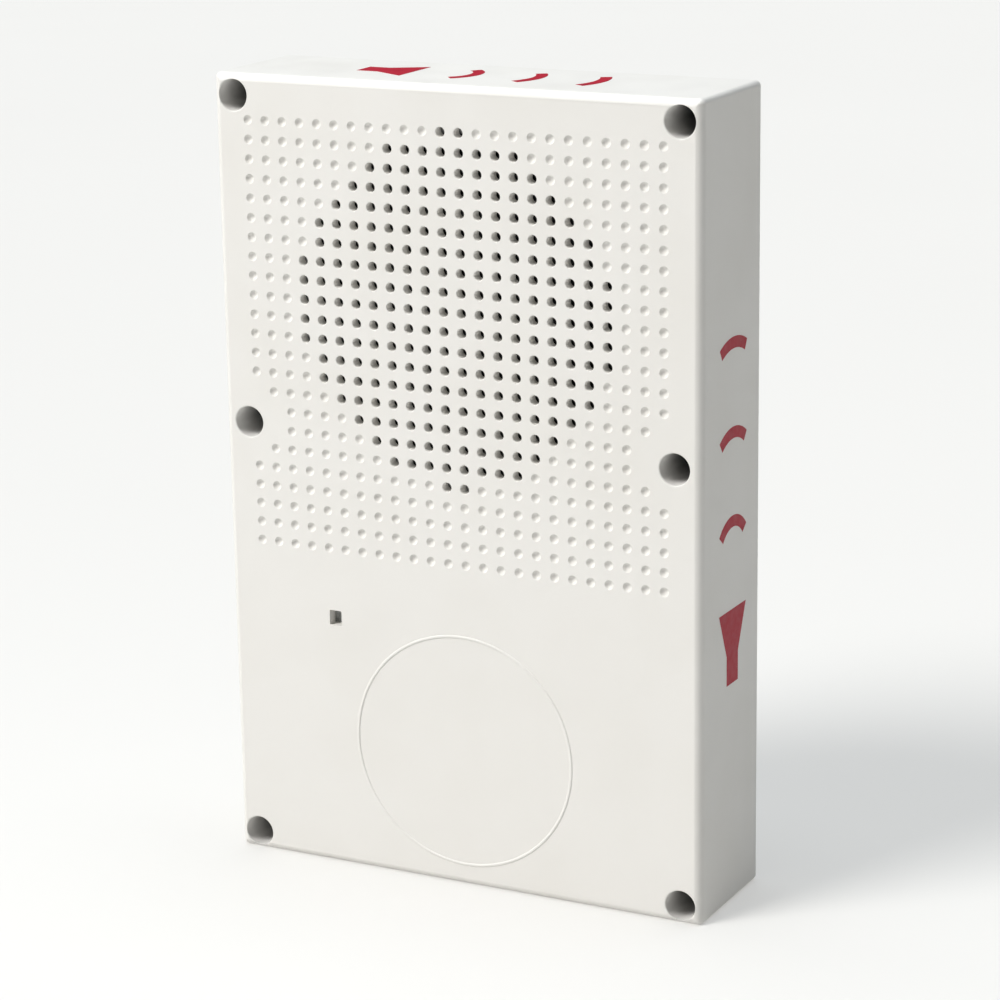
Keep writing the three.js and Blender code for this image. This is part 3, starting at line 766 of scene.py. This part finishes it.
def red_marks():
    """Painted marks on the top and on both sides, instead of lettering."""
    proud, sunk = 0.05, 0.15
    across, reach = -16.5, 8.5
    rows = {
        "top": (70, lambda u, v, w: (u, across + v, HALF_HEIGHT + w)),
        "right": (92, lambda u, v, w: (HALF_WIDTH + w, across + v, u)),
        "left": (92, lambda u, v, w: (-HALF_WIDTH - w, across + v, u)),
    }
    for side, (length, placed) in rows.items():
        marks = []
        for loop in sound_marks(length, reach):
            marks.append(loft([[placed(u, v, w) for u, v in loop] for w in (-sunk, proud)]))
        piece(f"red_marks_{side}", merged(*marks), "cover", signal_red)


def dull_and_shaded_bores(shell):
    """Gives the screw recesses, below their rims, their second material: a duller finish, with a darker
    colour and more painted shade with depth.
    """
    shell.data.materials.append(bore_shade_plastic)
    for face in shell.data.polygons:
        at = face.center * MM
        reach = min(math.hypot(at.x - s.x, at.z - s.z) for s in COVER_SCREWS)
        # Faces inside the recesses take the material with painted shade.
        if reach < RECESS_RADIUS + 0.05 and at.y > FRONT + 0.3:
            face.material_index = 1


def build_cover():
    shell = piece("front_cover_shell", front_cover(), "cover", cover_plastic,
                  ["front_cover"], 40)
    dull_and_shaded_bores(shell)
    red_marks()
    keep("cover_gasket", foam, 0.25)
    keep("window_lens", clear, 0.3)


# ------------------------------------------------------------------ screws and inserts


def cross_recess(x, z, top):
    """Cutter for a cross recess: two tapered slots."""
    solids = []
    for width, height in ((3.2, 0.75), (0.75, 3.2)):
        rings = []
        for share, y in ((1.0, top - 0.5), (1.0, top + 0.05), (0.45, top + 1.3)):
            w, h = width / 2 * share, height / 2 * (0.5 + share / 2)
            if width < height:
                w, h = width / 2 * (0.5 + share / 2), height / 2 * share
            rings.append([(x - w, y, z - h), (x + w, y, z - h), (x + w, y, z + h), (x - w, y, z + h)])
        solids.append(loft(rings))
    return solids


def pan_screw(node):
    """Pan-head screw with a cross recess, in the place of its CAD node."""
    x, z, head, top, end = round_part(node)
    seat = top + 2
    shank = 1.2
    body = turned([
        (0, top), (head * 0.72, top + 0.12, 0.8), (head, top + 1.15, 0.7), (head, seat, 0.12),
        (shank, seat), (shank, end - 1.2), (0, end)], x, z, 48)
    return cut(body, *cross_recess(x, z, top))


def cover_screw(node):
    """Captive screw: domed head with a six-sided socket, and a threaded shank."""
    x, z, head, top, end = round_part(node)
    seat = top + 2.2
    dome = turned([
        (0, top), (head * 0.66, top + 0.05, 0.5), (head, top + 1.3, 0.9), (head, seat, 0.15),
        (1.3, seat), (1.3, end - 0.4), (0.9, end), (0, end)], x, z, 56)
    socket = bar(1.45, top - 1, top + 1.2, x, z, 6)
    lead_in = turned([(0, top - 1), (1.75, top - 1), (1.75, top), (1.3, top + 0.35), (0, top + 0.35)],
                     x, z, 36)
    return cut(join(dome, thread(1.45, 0.22, 0.5, -9.6, end - 0.2, x, z)), socket, lead_in)


def terminal_screw(node):
    x, z, head, top, end = round_part(node)
    body = turned([
        (0, top), (head, top, 0.3), (head, top + 1.6, 0.1), (1.2, top + 1.6), (1.2, end),
        (0, end)], x, z, 40)
    return cut(body, plain_block(5, 0.7, top - 1, top + 0.75, x, z))


def insert(node):
    """Brass insert with rounded ends and two grooves outside."""
    x, z, outer, front, back = round_part(node)
    inner = outer - 0.45
    profile = [(inner, front, 0.12), (inner, back, 0.12), (outer, back, 0.12)]
    for y in (back - 0.9, back - 2.0):
        profile += [(outer, y + 0.2), (outer - 0.12, y + 0.1), (outer - 0.12, y - 0.1), (outer, y - 0.2)]
    return turned([*profile, (outer, front, 0.12)], x, z, 40, closed=True)


def build_fasteners():
    for place in PLACES:
        screw, brass_insert = f"cover_screw_{place}", f"threaded_insert_{place}"
        piece(f"captive_screw_{place}", cover_screw(screw), "cover",
              stainless_steel, [screw])
        piece(f"brass_insert_{place}", insert(brass_insert), "root", brass, [brass_insert])
    for group in ("speaker", "board"):
        for i in range(1, 5):
            node = f"{group}_screw_{i}"
            piece(f"{group}_fixing_{i}", pan_screw(node), "root", zinc_steel, [node])
    for i in range(1, 5):
        node = f"terminal_screw_{i}"
        piece(f"clamp_screw_{i}", terminal_screw(node), "root", zinc_steel, [node])


# ------------------------------------------------------------------ base


def post(place, top, foot, head, y_foot):
    """Tapered round post with a filleted foot."""
    return turned([(0, top), (head, top, 0.3), (foot, y_foot - 1.6, 0.6), (foot + 1.4, y_foot),
                   (foot + 1.4, y_foot + 1), (0, y_foot + 1)], place.x, place.z, 40)


def base_plate():
    low, high = corners("base_plate")
    half_width, half_height = high.x, high.z
    seat, thickness, band = -5.5, 2.5, 8.7
    plate = slab(half_width, half_height, 1.7, -thickness, 0, 0, 0.15)
    rim = cut(slab(half_width, half_height, 1.7, seat, -1, 0.3),
              slab(half_width - band, half_height - band, 2, seat - 1, 0))
    speaker_posts = screw_places("speaker")
    board_posts = screw_places("board")
    posts = [post(p, low.y, 4.5, 3.7, -thickness) for p in speaker_posts]
    board_top = corners("circuit_board")[1].y + 0.3
    posts += [post(p, board_top, 3.6, 3.2, -thickness) for p in board_posts]
    magnet_rib = turned([(28, -5, 0.3), (30, -5, 0.3), (30, -1), (28, -1)], SPEAKER_X, SPEAKER_Z, 72,
                        closed=True)
    ribs = [block(1.6, 76, -4.6, -1, side * 50, -46, 0.3) for side in (-1, 1)]
    solid = join(plate, rim, merged(*posts), magnet_rib, merged(*ribs))
    holes = [bar(2.5, seat - 1, -1.9, s.x, s.z, 40) for s in COVER_SCREWS]
    holes += [bar(1.6, low.y - 1, low.y + 12, p.x, p.z, 32) for p in speaker_posts]
    holes += [bar(1.6, board_top - 1, -1.2, p.x, p.z, 32) for p in board_posts]
    wall_hole = [(0, -6), (2.9, -6), (2.9, -thickness - MOUTH_STEP), (2.3, -thickness + 0.6), (2.3, 1),
                 (0, 1)]
    holes += [turned(wall_hole, x, z, 36) for x in (-53.5, 53.5) for z in (72, -88)]
    entry = middle("wire_grommet")
    holes.append(bar(8, -6, 1, entry.x, entry.z, 56))
    groove = cut(slab(half_width - 1.2, half_height - 1.2, 1.5, -1.2, 1),
                 slab(half_width - 6.9, half_height - 6.9, 1.5, -2, 2))
    pin_mark = [(0, 1), (3.2, 1), (3.2, -0.08), (3.0, -0.2), (0, -0.2)]
    pin_places = [(x, z) for x in (-44, 0, 44) for z in (90, 30, -30) if (x, z) != (0, -30)]
    pin_places += [(-30, -80), (30, -80)]
    pin_marks = [turned(pin_mark, x, z, 40) for x, z in pin_places]
    return cut(solid, merged(*holes), groove, merged(*pin_marks))


def wire_grommet():
    x, z, _, front, back = round_part("wire_grommet")
    step = front + 1.4
    return turned([
        (5, front, 0.5), (5, back, 0.3), (7.6, back, 0.5), (7.6, step, 0.15), (10.2, step, 0.4),
        (10.2, front, 0.6)], x, z, 64, closed=True)


def build_base():
    piece("base_moulding", base_plate(), "root", base_plastic, ["base_plate"], 40)
    piece("entry_grommet", wire_grommet(), "root", rubber, ["wire_grommet"])
    keep("wall_gasket", foam, 0.25)


# ------------------------------------------------------------------ loudspeaker


def speaker_basket():
    low, high = corners("speaker_basket")
    x, z, front = SPEAKER_X, SPEAKER_Z, low.y
    back = front + 1
    flange = slab(high.x, high.x, 8, front, back, 0.25, 0.25, x, z, 10, 3)
    wall = turned([
        (13.6, -13), (27.5, -13, 0.7), (27.5, -16, 0.7), (31.6, -16, 0.7), (46, back - 0.2, 0.8),
        (44.4, back - 0.2, 0.6), (31, -17, 0.6), (26.5, -17, 0.6), (26.5, -14, 0.5), (13.6, -14)],
        x, z, 96, closed=True)
    flange = cut(flange, bar(43.5, front - 1, back + 1, x, z, 96))
    windows = []
    for k in range(6):
        slot = slab(6.25, 12.5, 3, -22.4 - 4.5, -22.4 + 4.5, x=38.4)
        windows.append(moved(turned_about_y(slot, k * math.pi / 3), x, 0, z))
    screws = screw_places("speaker")
    holes = [bar(2.1, front - 1, back + 1, s.x, s.z, 36) for s in screws]
    return cut(join(flange, wall), merged(*windows), merged(*holes))


def cone_line(steps=36):
    """Front line of the cone from neck to rim: bowed, with three pressed ribs."""
    low, high = corners("speaker_cone")
    neck, rim = 12.7, high.x - SPEAKER_X
    neck_y, rim_y = high.y - 0.7, low.y
    line = []
    for i in range(steps + 1):
        t = i / steps
        y = neck_y + (rim_y - neck_y) * t + 1.2 * math.sin(math.pi * t)
        for centre in (0.55, 0.68, 0.81):
            y -= 0.22 * math.exp(-((t - centre) / 0.02) ** 2)
        line.append((neck + (rim - neck) * t, y))
    return line


def surround_line():
    """Front line of the half-roll surround, from its lap on the cone to its outer lip."""
    inner, outer = 38.3, 44.3
    inner_y, outer_y = -28.2, -30.6
    steps = 22
    line = [(37.0, inner_y + 0.14)]
    for i in range(steps + 1):
        a = math.pi * i / steps
        t = (1 - math.cos(a)) / 2
        y = inner_y + (outer_y - inner_y) * t - 1.5 * math.sin(a)
        line.append((inner + (outer - inner) * t, y))
    return [*line, (47.5, outer_y)]


def spider_line():
    """Front line of the corrugated centring disc."""
    inner, outer = 12.8, 30.6
    steps = 72
    line = []
    for i in range(steps + 1):
        t = i / steps
        line.append((inner + (outer - inner) * t, -17.95 + 0.33 * math.cos(FULL_TURN * 5 * t)))
    return line


def bending_ring(name, node, line, thickness, material):
    """A ring that joins cone and basket, made as separate sectors about the loudspeaker's axis."""
    sectors = 12
    for i in range(sectors):
        first = FULL_TURN * i / sectors
        last = FULL_TURN * (i + 1) / sectors
        solid = sector(sheet_profile(line, thickness), first, last, 10, SPEAKER_X, SPEAKER_Z)
        made = to_object(f"{name}_{i + 1}", solid)
        shade(made.data, 50)
        made.data.materials.append(material)
        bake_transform(made)
        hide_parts(node)


def dust_cap():
    low, high = corners("dust_cap")
    radius, height, base = high.x - SPEAKER_X, 5.0, low.y + 5.0
    sphere = (radius ** 2 + height ** 2) / (2 * height)
    steps = 14
    outside = []
    for i in range(steps + 1):
        r = radius * i / steps
        outside.append((r, base - math.sqrt(sphere ** 2 - r ** 2) + sphere - height))
    inside = [(r, y + 0.4) for r, y in reversed(outside)]
    return turned(outside + inside, SPEAKER_X, SPEAKER_Z, 72)


def voice_coil():
    """Paper former with two layers of fine wire at its back end."""
    front, back = corners("voice_coil")[0].y, corners("voice_coil")[1].y
    former = [(11.7, front), (12.1, front), (12.1, -13.2)]
    wire = []
    count = 18
    for k in range(count):
        y = -13.1 + (back + 13.1) * (k + 0.5) / count
        wire += [(12.5, y - 0.08), (12.42, y + 0.14)]
    return turned([*former, (12.42, -13.2), *wire, (12.42, back), (11.7, back)], SPEAKER_X, SPEAKER_Z,
                  72, closed=True)


def flat_ring(node, inner, outer, inner_edge, outer_edge):
    """Ring about the loudspeaker's axis, between its CAD node's front and back."""
    low, high = corners(node)
    return turned([(inner, low.y, inner_edge), (outer, low.y, outer_edge),
                   (outer, high.y, outer_edge), (inner, high.y, inner_edge)],
                  SPEAKER_X, SPEAKER_Z, 96, closed=True)


def magnet_parts():
    piece("top_plate", flat_ring("magnet_top_plate", 13, 26, 0.3, 0.4), "root",
          zinc_steel, ["magnet_top_plate"])
    piece("ferrite_ring", flat_ring("magnet_ring", 14.5, 27, 0.5, 0.6), "root",
          ferrite_grey, ["magnet_ring"])
    low, high = corners("pole_yoke")
    piece("yoke", turned([
        (0, low.y), (11.2, low.y, 0.5), (11.2, -5, 0.6), (26, -5, 1.2), (26, high.y, 0.6), (0, high.y)],
        SPEAKER_X, SPEAKER_Z, 96), "root", zinc_steel, ["pole_yoke"])


def solder_tags():
    """Two tinned tags riveted to the terminal strip."""
    strip = middle("speaker_terminal_strip")
    front = corners("speaker_terminal_strip")[1].y
    for side, name in ((-1, "left"), (1, "right")):
        x = strip.x + side * 5
        tongue = slab(1.6, 4.4, 1.5, front + 0.02, front + 0.42, 0.08, 0.08, x, strip.z - 2.6, 6, 2)
        rivet = turned([(0, front + 1.0), (1.1, front + 0.9, 0.3), (1.3, front + 0.35), (0, front + 0.35)],
                       x, strip.z + 0.2, 28)
        eye = bar(0.8, front - 1, front + 2, x, strip.z - 5.4, 24)
        piece(f"solder_tag_{name}", cut(join(tongue, rivet), eye), "root", brass)


def build_speaker():
    piece("basket", speaker_basket(), "root", black_steel, ["speaker_basket"], 40)
    piece("cone", turned(sheet_profile(cone_line(), 0.7), SPEAKER_X, SPEAKER_Z, 96, closed=True),
          "diaphragm", paper, ["speaker_cone"])
    piece("cap", dust_cap(), "diaphragm", paper, ["dust_cap"])
    piece("coil", voice_coil(), "diaphragm", copper, ["voice_coil"])
    bending_ring("surround", "cone_surround", surround_line(), 0.5, rubber)
    bending_ring("centring_disc", "spider", spider_line(), 0.3, cloth)
    magnet_parts()
    low, high = corners("speaker_gasket")
    piece("front_gasket", turned([
        (45, low.y, 0.35), (50.4, low.y, 0.35), (50.4, high.y, 0.2), (45, high.y, 0.2)],
        SPEAKER_X, SPEAKER_Z, 96, closed=True), "root", pale_foam, ["speaker_gasket"])
    keep("speaker_terminal_strip", fibre_board, 0.1)
    solder_tags()


# ------------------------------------------------------------------ electronics

BOARD_FACE = corners("circuit_board")[0].y
LEAD_X, LEAD_Z = 7.2, -18.5


def ribbon(path, width, front, back):
    """Flat strip along an open path of (x, z) points."""
    left, right = [], []
    for i, point in enumerate(path):
        here = Vector(point)
        before = (here - Vector(path[i - 1])).normalized() if i else None
        after = (Vector(path[i + 1]) - here).normalized() if i < len(path) - 1 else None
        ahead = ((before or after) + (after or before)).normalized()
        along = before or after
        spread = width / 2 / max(0.5, ahead.dot(along))
        side = Vector((-ahead.y, ahead.x)) * spread
        left.append(tuple(here + side))
        right.append(tuple(here - side))
    return hull_between(left + right[::-1], front, back)


def tracks():
    """Copper tracks under the lacquer, from the terminals to the tap switch, coil and leads."""
    terminals = screw_places("terminal")
    dial = middle("tap_selector_housing")
    routes = [
        [(terminals[0].x, -60), (terminals[0].x, -57), (-16, -50.5), (-24, -50.5), (-28, -46.5)],
        [(terminals[1].x, -60), (terminals[1].x, -54), (-6.5, -50.6), (-6.5, -22), (-7.2, LEAD_Z - 1)],
        [(terminals[2].x, -60), (terminals[2].x, -24), (7.2, LEAD_Z - 1)],
        [(terminals[3].x, -60), (terminals[3].x, -56.5), (13, -53), (34, -53)],
        [(dial.x + 2, dial.z + 8), (-31, -32), (-20, -32), (-18, -30)],
        [(dial.x - 2, dial.z + 8), (-38.7, -26), (-34, -21.5), (-14, -21.5)],
        [(dial.x - 3, dial.z - 8), (-39.7, -58), (-33, -64.5), (-20, -64.5)],
    ]
    solids = []
    for i, route in enumerate(routes):
        width = 1.6 if i in (1, 2) else 1.1
        solids.append(ribbon(route, width, BOARD_FACE - 0.05, BOARD_FACE + 0.1))
    return merged(*solids)


def pad(x, z, radius=1.1):
    """Tinned ring and the domed solder in it."""
    face = BOARD_FACE
    return turned([(0, face - 0.55), (radius * 0.35, face - 0.5, 0.2), (radius * 0.75, face - 0.16, 0.3),
                   (radius, face - 0.1), (radius, face + 0.1), (0, face + 0.1)], x, z, 24)


def axial(x, z, body, radius, profile):
    """Turned part lying along X above the board, from (offset along X, radius share) points."""
    y = BOARD_FACE - radius - 0.4
    rings = []
    for along, share in profile:
        loop = []
        for k in range(24):
            a = FULL_TURN * k / 24
            r = radius * share
            loop.append((x + along * body / 2, y + r * math.cos(a), z + r * math.sin(a)))
        rings.append(loop)
    return loft(rings)


BEAD = [(-1.0, 0.0), (-1.0, 0.55), (-0.93, 0.85), (-0.8, 1.0), (-0.6, 1.0), (-0.45, 0.86), (0.45, 0.86),
        (0.6, 1.0), (0.8, 1.0), (0.93, 0.85), (1.0, 0.55), (1.0, 0.0)]
CYLINDER = [(-1.0, 0.0), (-1.0, 0.9), (-0.94, 1.0), (0.94, 1.0), (1.0, 0.9), (1.0, 0.0)]


def axial_leads(x, z, body, radius):
    """The two wires of an axial part, bent down into the board."""
    y = BOARD_FACE - radius - 0.4
    solids = []
    for side in (-1, 1):
        out = x + side * (body / 2 + 1.8)
        route = smooth_route([(x + side * (body / 2 - 0.4), y, z), (out - side * 0.8, y, z),
                              (out, y + 0.8, z), (out, BOARD_FACE + 0.2, z)], 5)
        solids.append(tube(route, 0.28, 10))
    return solids


def small_parts():
    """Resistors and diodes that the board needs round the transformer."""
    resistors = [(-21, -60), (-21, -56), (20, -60), (30, -60)]
    diodes = [(-24, -24.5), (-24, -21)]
    bodies = [axial(x, z, 6.2, 1.2, BEAD) for x, z in resistors]
    piece("resistor_bodies", merged(*bodies), "root", resistor_tan)
    bands = []
    for x, z in resistors:
        for at in (-0.7, -0.25, 0.05, 0.7):
            share = 1.03 if abs(at) > 0.5 else 0.9
            profile = [(at - 0.06, share - 0.3), (at - 0.06, share), (at + 0.06, share),
                       (at + 0.06, share - 0.3)]
            bands.append(axial(x, z, 6.2, 1.2, profile))
    piece("resistor_bands", merged(*bands), "root", band_brown)
    cans = [axial(x, z, 4.6, 1.3, CYLINDER) for x, z in diodes]
    piece("diode_bodies", merged(*cans), "root", black_plastic)
    rings = [axial(x, z, 4.6, 1.3, [(0.55, 0.8), (0.55, 1.03), (0.78, 1.03), (0.78, 0.8)])
             for x, z in diodes]
    piece("diode_bands", merged(*rings), "root", tinned)
    leads, pads = [], []
    for x, z, body, radius in [(*p, 6.2, 1.2) for p in resistors] + [(*p, 4.6, 1.3) for p in diodes]:
        leads += axial_leads(x, z, body, radius)
        pads += [pad(x + side * (body / 2 + 1.8), z, 0.9) for side in (-1, 1)]
    piece("part_leads", merged(*leads), "root", tinned)
    pads += [pad(side * LEAD_X, LEAD_Z, 1.7) for side in (-1, 1)]
    pads += [pad(x, -53, 1.3) for x in (14.5, 19.5, 24.5, 29.5, 34)]
    pads += [pad(x, z, 1.2) for x in (-9.5, -14.5) for z in (-35, -48.5)]
    piece("solder_joints", merged(*pads), "root", tinned)


def legend():
    """White printed outlines round the parts, with no lettering."""
    face = BOARD_FACE
    frames = []
    for node, gap in (("transformer_core", 1.2), ("terminal_block", 1.0), ("tap_selector_housing", 1.0)):
        low, high = corners(node)
        x, z = middle(node).x, middle(node).z
        half = ((high.x - low.x) / 2 + gap, (high.z - low.z) / 2 + gap)
        outer = slab(*half, 0.5, face - 0.03, face + 0.1, x=x, z=z, steps=3)
        inner = slab(half[0] - 0.25, half[1] - 0.25, 0.4, face - 1, face + 1, x=x, z=z, steps=3)
        frames.append(cut(outer, inner))
    for node in ("capacitor_upper", "capacitor_lower"):
        at = middle(node)
        circle_line = [(5.9, face - 0.03), (6.15, face - 0.03), (6.15, face + 0.1), (5.9, face + 0.1)]
        frames.append(turned(circle_line, at.x, at.z, 48, closed=True))
    return merged(*frames)


def capacitor(node, name):
    """Electrolytic can: printed sleeve, and a bright top with its vent lines."""
    x, z, radius, top, end = round_part(node)
    sleeve = turned([
        (3.9, top + 0.05, 0.1), (radius, top, 0.6), (radius, end - 2.1, 0.2),
        (radius - 0.4, end - 1.6, 0.3), (radius, end - 1.1, 0.2), (radius, end, 0.2), (0, end), (0, top + 0.6), (3.9, top + 0.6)],
        x, z, 56)
    piece(f"{name}_sleeve", sleeve, "root", sleeve_blue, [node])
    lid = bar(3.85, top + 0.12, top + 0.55, x, z, 48, 0.1)
    vents = [plain_block(w, h, top - 1, top + 0.25, x, z) for w, h in ((6.2, 0.3), (0.3, 6.2))]
    piece(f"{name}_lid", cut(lid, *vents), "root", aluminium)
    stripe = sector([(radius + 0.03, top + 1.2), (radius + 0.03, end - 2.6), (radius - 0.1, end - 2.6),
                     (radius - 0.1, top + 1.2)], 0.25, 0.95, 8, x, z)
    piece(f"{name}_stripe", stripe, "root", legend_white)


def winding():
    """Taped winding: a rounded sleeve that bulges a little between the bobbin's flanges."""
    low, high = corners("transformer_winding")
    at = middle("transformer_winding")
    half = ((high.x - low.x) / 2, (high.y - low.y) / 2)
    inner = 7.0
    steps = 8
    rings = []
    for i in range(steps + 1):
        t = 2 * i / steps - 1
        bulge = 0.35 * (1 - t ** 4) - 0.35
        loop = outline(half[0] + bulge, half[1] + bulge, 3.2, 5)
        rings.append([(at.x + a, at.y + b, low.z + (high.z - low.z) * i / steps) for a, b in loop])
    for i in range(steps, -1, -1):
        loop = outline(inner, inner, 0.6, 5)
        rings.append([(at.x + a, at.y + b, low.z + (high.z - low.z) * i / steps) for a, b in loop])
    return loft(rings, closed=True)


def clamp_cages():
    """Metal cages of the terminals, seen in their wire mouths."""
    block_low = corners("terminal_block")[0]
    cages = []
    for at in screw_places("terminal"):
        outer = plain_block(3.4, 5.6, -17.6, -14.4, at.x, block_low.z + 4.4)
        inner = plain_block(2.6, 7, -17.2, -14.8, at.x, block_low.z + 4.4)
        cages.append(cut(outer, inner))
    return merged(*cages)


def tap_dial():
    """Dial with a screwdriver slot, a knurled rim and a stem down into the switch."""
    axis_x, axis_z, radius, top, end = round_part("tap_selector_dial")
    under = top + 2.0
    notches = 40
    rings = []
    for share, y in softened([(0.0, top), (1.0, top, 0.35), (1.0, under, 0.3), (0.33, under),
                              (3.0 / radius, under + 1.5), (3.0 / radius, end), (0.0, end)]):
        ring = []
        for k in range(notches * 4):
            a = FULL_TURN * k / (notches * 4)
            knurl = 0.22 * (k % 4 in (0, 1)) if share > 0.95 else 0.0
            r = share * radius - knurl
            ring.append((axis_x + r * math.cos(a), y, axis_z + r * math.sin(a)))
        rings.append(ring)
    slot = slab(3.5, 0.6, 0.5, top - 1, top + 0.9, x=axis_x, z=axis_z)
    return cut(loft(rings), slot)


def dial_numbers():
    """Numbers 1 to 5 on the dial, 36 degrees apart. The one at the top shows in the window."""
    top = corners("tap_selector_dial")[0].y
    at = middle("tap_selector_dial")
    ring_radius, step = 7.0, math.radians(36)
    for k in range(5):
        text = bpy.data.curves.new(f"digit_{k + 1}", "FONT")
        text.body = str(k + 1)
        text.size = 3.4
        text.align_x = "CENTER"
        text.align_y = "CENTER"
        text.extrude = 0.06
        text.resolution_u = 4
        drawn = bpy.data.objects.new("digit", text)
        bpy.context.scene.collection.objects.link(drawn)
        graph = bpy.context.evaluated_depsgraph_get()
        evaluated = drawn.evaluated_get(graph)
        mesh = evaluated.to_mesh()
        angle = k * step
        c, s = math.cos(angle), math.sin(angle)
        points = []
        for v in mesh.vertices:
            u, w = v.co.x, v.co.y + ring_radius
            points.append((at.x + u * c + w * s, top - v.co.z, at.z - u * s + w * c))
        faces = [tuple(p.vertices) for p in mesh.polygons]
        evaluated.to_mesh_clear()
        bpy.data.objects.remove(drawn)
        piece(f"dial_number_{k + 1}", (points, faces), "dial", ink_black)


def speaker_leads():
    """Red and black lead from the terminal strip to the board, with bare tinned ends."""
    for side, name, material, slot in ((1, "red", wire_red, "signal_red"),
                                       (-1, "black", wire_black, "wire_black")):
        route = [(5, -15.2, SPEAKER_Z - 41), (5.2, -15.8, 2), (6, -17, -5), (7, -16.8, -12),
                 (LEAD_X, -15.6, -16.8), (LEAD_X, BOARD_FACE - 0.6, LEAD_Z)]
        points = smooth_route([(side * x, y, z) for x, y, z in route], 12)
        piece(f"lead_{name}", tube(points, 0.9, 20), "root", material, [f"speaker_lead_{name}"])
        strand = smooth_route([(side * 5, -15.2, SPEAKER_Z - 40.6), (side * 5, -14.6, SPEAKER_Z - 39.4),
                               (side * 5, -14.2, SPEAKER_Z - 38.6)], 6)
        piece(f"lead_end_{name}", tube(strand, 0.5, 12), "root", tinned)


def build_electronics():
    keep("circuit_board", laminate, 0.12)
    piece("board_tracks", tracks(), "root", track_green)
    piece("board_legend", legend(), "root", legend_white)
    small_parts()
    keep("transformer_core", lamination_steel, 0.15)
    keep("transformer_bobbin", black_plastic, 0.2)
    piece("taped_winding", winding(), "root", winding_tape, ["transformer_winding"])
    keep("terminal_block", terminal_plastic, 0.25)
    piece("clamp_cages", clamp_cages(), "root", zinc_steel)
    keep("tap_selector_housing", black_plastic, 0.3)
    piece("tap_dial", tap_dial(), "dial", dial_plastic, ["tap_selector_dial"])
    dial_numbers()
    capacitor("capacitor_upper", "upper_can")
    capacitor("capacitor_lower", "lower_can")
    speaker_leads()


# ------------------------------------------------------------------ floor, light and camera


def backdrop_world():
    """Weak even fill light, with a pale backdrop above the floor's far edge."""
    world = bpy.data.worlds.new("studio")
    world.use_nodes = True
    tree = world.node_tree
    fill = tree.nodes["Background"]
    fill.inputs["Color"].default_value = (0.93, 0.97, 1.0, 1)
    fill.inputs["Strength"].default_value = 0.06
    seen = wired(tree, "LightPath", {}).outputs["Is Camera Ray"]
    pale = wired(tree, "Background", {"Color": (0.93, 0.935, 0.925, 1)}).outputs[0]
    either = wired(tree, "MixShader", {0: seen, 1: fill.outputs[0], 2: pale})
    tree.links.new(either.outputs[0], tree.nodes["World Output"].inputs["Surface"])
    bpy.context.scene.world = world


def studio_floor():
    floor_level = cad_bounds[0].z
    size = 6.0
    corners_xy = [(-size, -size), (size, -size), (size, size), (-size, size)]
    mesh = bpy.data.meshes.new("floor")
    mesh.from_pydata([(x, y, floor_level) for x, y in corners_xy], [], [(0, 1, 2, 3)])
    floor = bpy.data.objects.new("floor", mesh)
    bpy.context.scene.collection.objects.link(floor)
    paper_white = Finish("floor_paper", (0.46, 0.455, 0.44), 0.9)
    paper_white.tint(paper_white.noise(400, 2), (0.44, 0.435, 0.42))
    paper_white.set("Emission Color", (1.0, 0.99, 0.97, 1))
    paper_white.set("Emission Strength", 0.33)
    mesh.materials.append(paper_white.material)


def soft_sun(name, direction, spread, strength, colour):
    """Even light from one direction. The spread, in degrees, softens its shadows."""
    data = bpy.data.lights.new(name, "SUN")
    data.angle = math.radians(spread)
    data.energy = strength
    data.color = colour
    made = bpy.data.objects.new(name, data)
    made.rotation_euler = (-Vector(direction)).to_track_quat("-Z", "Y").to_euler()
    bpy.context.scene.collection.objects.link(made)


def lamp(name, direction, distance, size, power, colour):
    """Square soft light that looks at the middle of the object."""
    centre = (cad_bounds[0] + cad_bounds[1]) / 2
    towards = Vector(direction).normalized()
    data = bpy.data.lights.new(name, "AREA")
    data.shape = "SQUARE"
    data.size = size
    data.energy = power
    data.color = colour
    made = bpy.data.objects.new(name, data)
    made.location = centre + towards * distance
    made.rotation_euler = (-towards).to_track_quat("-Z", "Y").to_euler()
    bpy.context.scene.collection.objects.link(made)


def camera():
    """Camera to the right of the front and a little above, looking at a point on the face."""
    azimuth, elevation, roll = math.radians(27.46), math.radians(15.31), math.radians(0.89)
    distance = 0.8115
    target = Vector((0.0127, FRONT / MM, 0.0010))
    back = Vector((math.sin(azimuth) * math.cos(elevation), -math.cos(azimuth) * math.cos(elevation),
                   math.sin(elevation)))
    data = bpy.data.cameras.new("camera")
    data.lens = 115.07
    data.sensor_width = 36
    made = bpy.data.objects.new("camera", data)
    made.location = target + back * distance
    made.rotation_mode = "QUATERNION"
    facing = (-back).to_track_quat("-Z", "Y")
    made.rotation_quaternion = facing @ Quaternion((0, 0, 1), -roll)
    bpy.context.scene.collection.objects.link(made)
    bpy.context.scene.camera = made


build_cover()
build_fasteners()
build_base()
build_speaker()
build_electronics()
bpy.context.scene.view_settings.view_transform = "Standard"
backdrop_world()
studio_floor()
soft_sun("key", (-0.41, -0.58, 0.71), 24, 2.75, (1.0, 0.98, 0.955))
soft_sun("overhead", (0.0, 0.1, 1.0), 40, 2.15, (0.89, 0.95, 1.0))
lamp("upper_left", (-0.62, -0.55, 0.56), 0.55, 0.3, 0.55, (0.97, 0.985, 1.0))
camera()
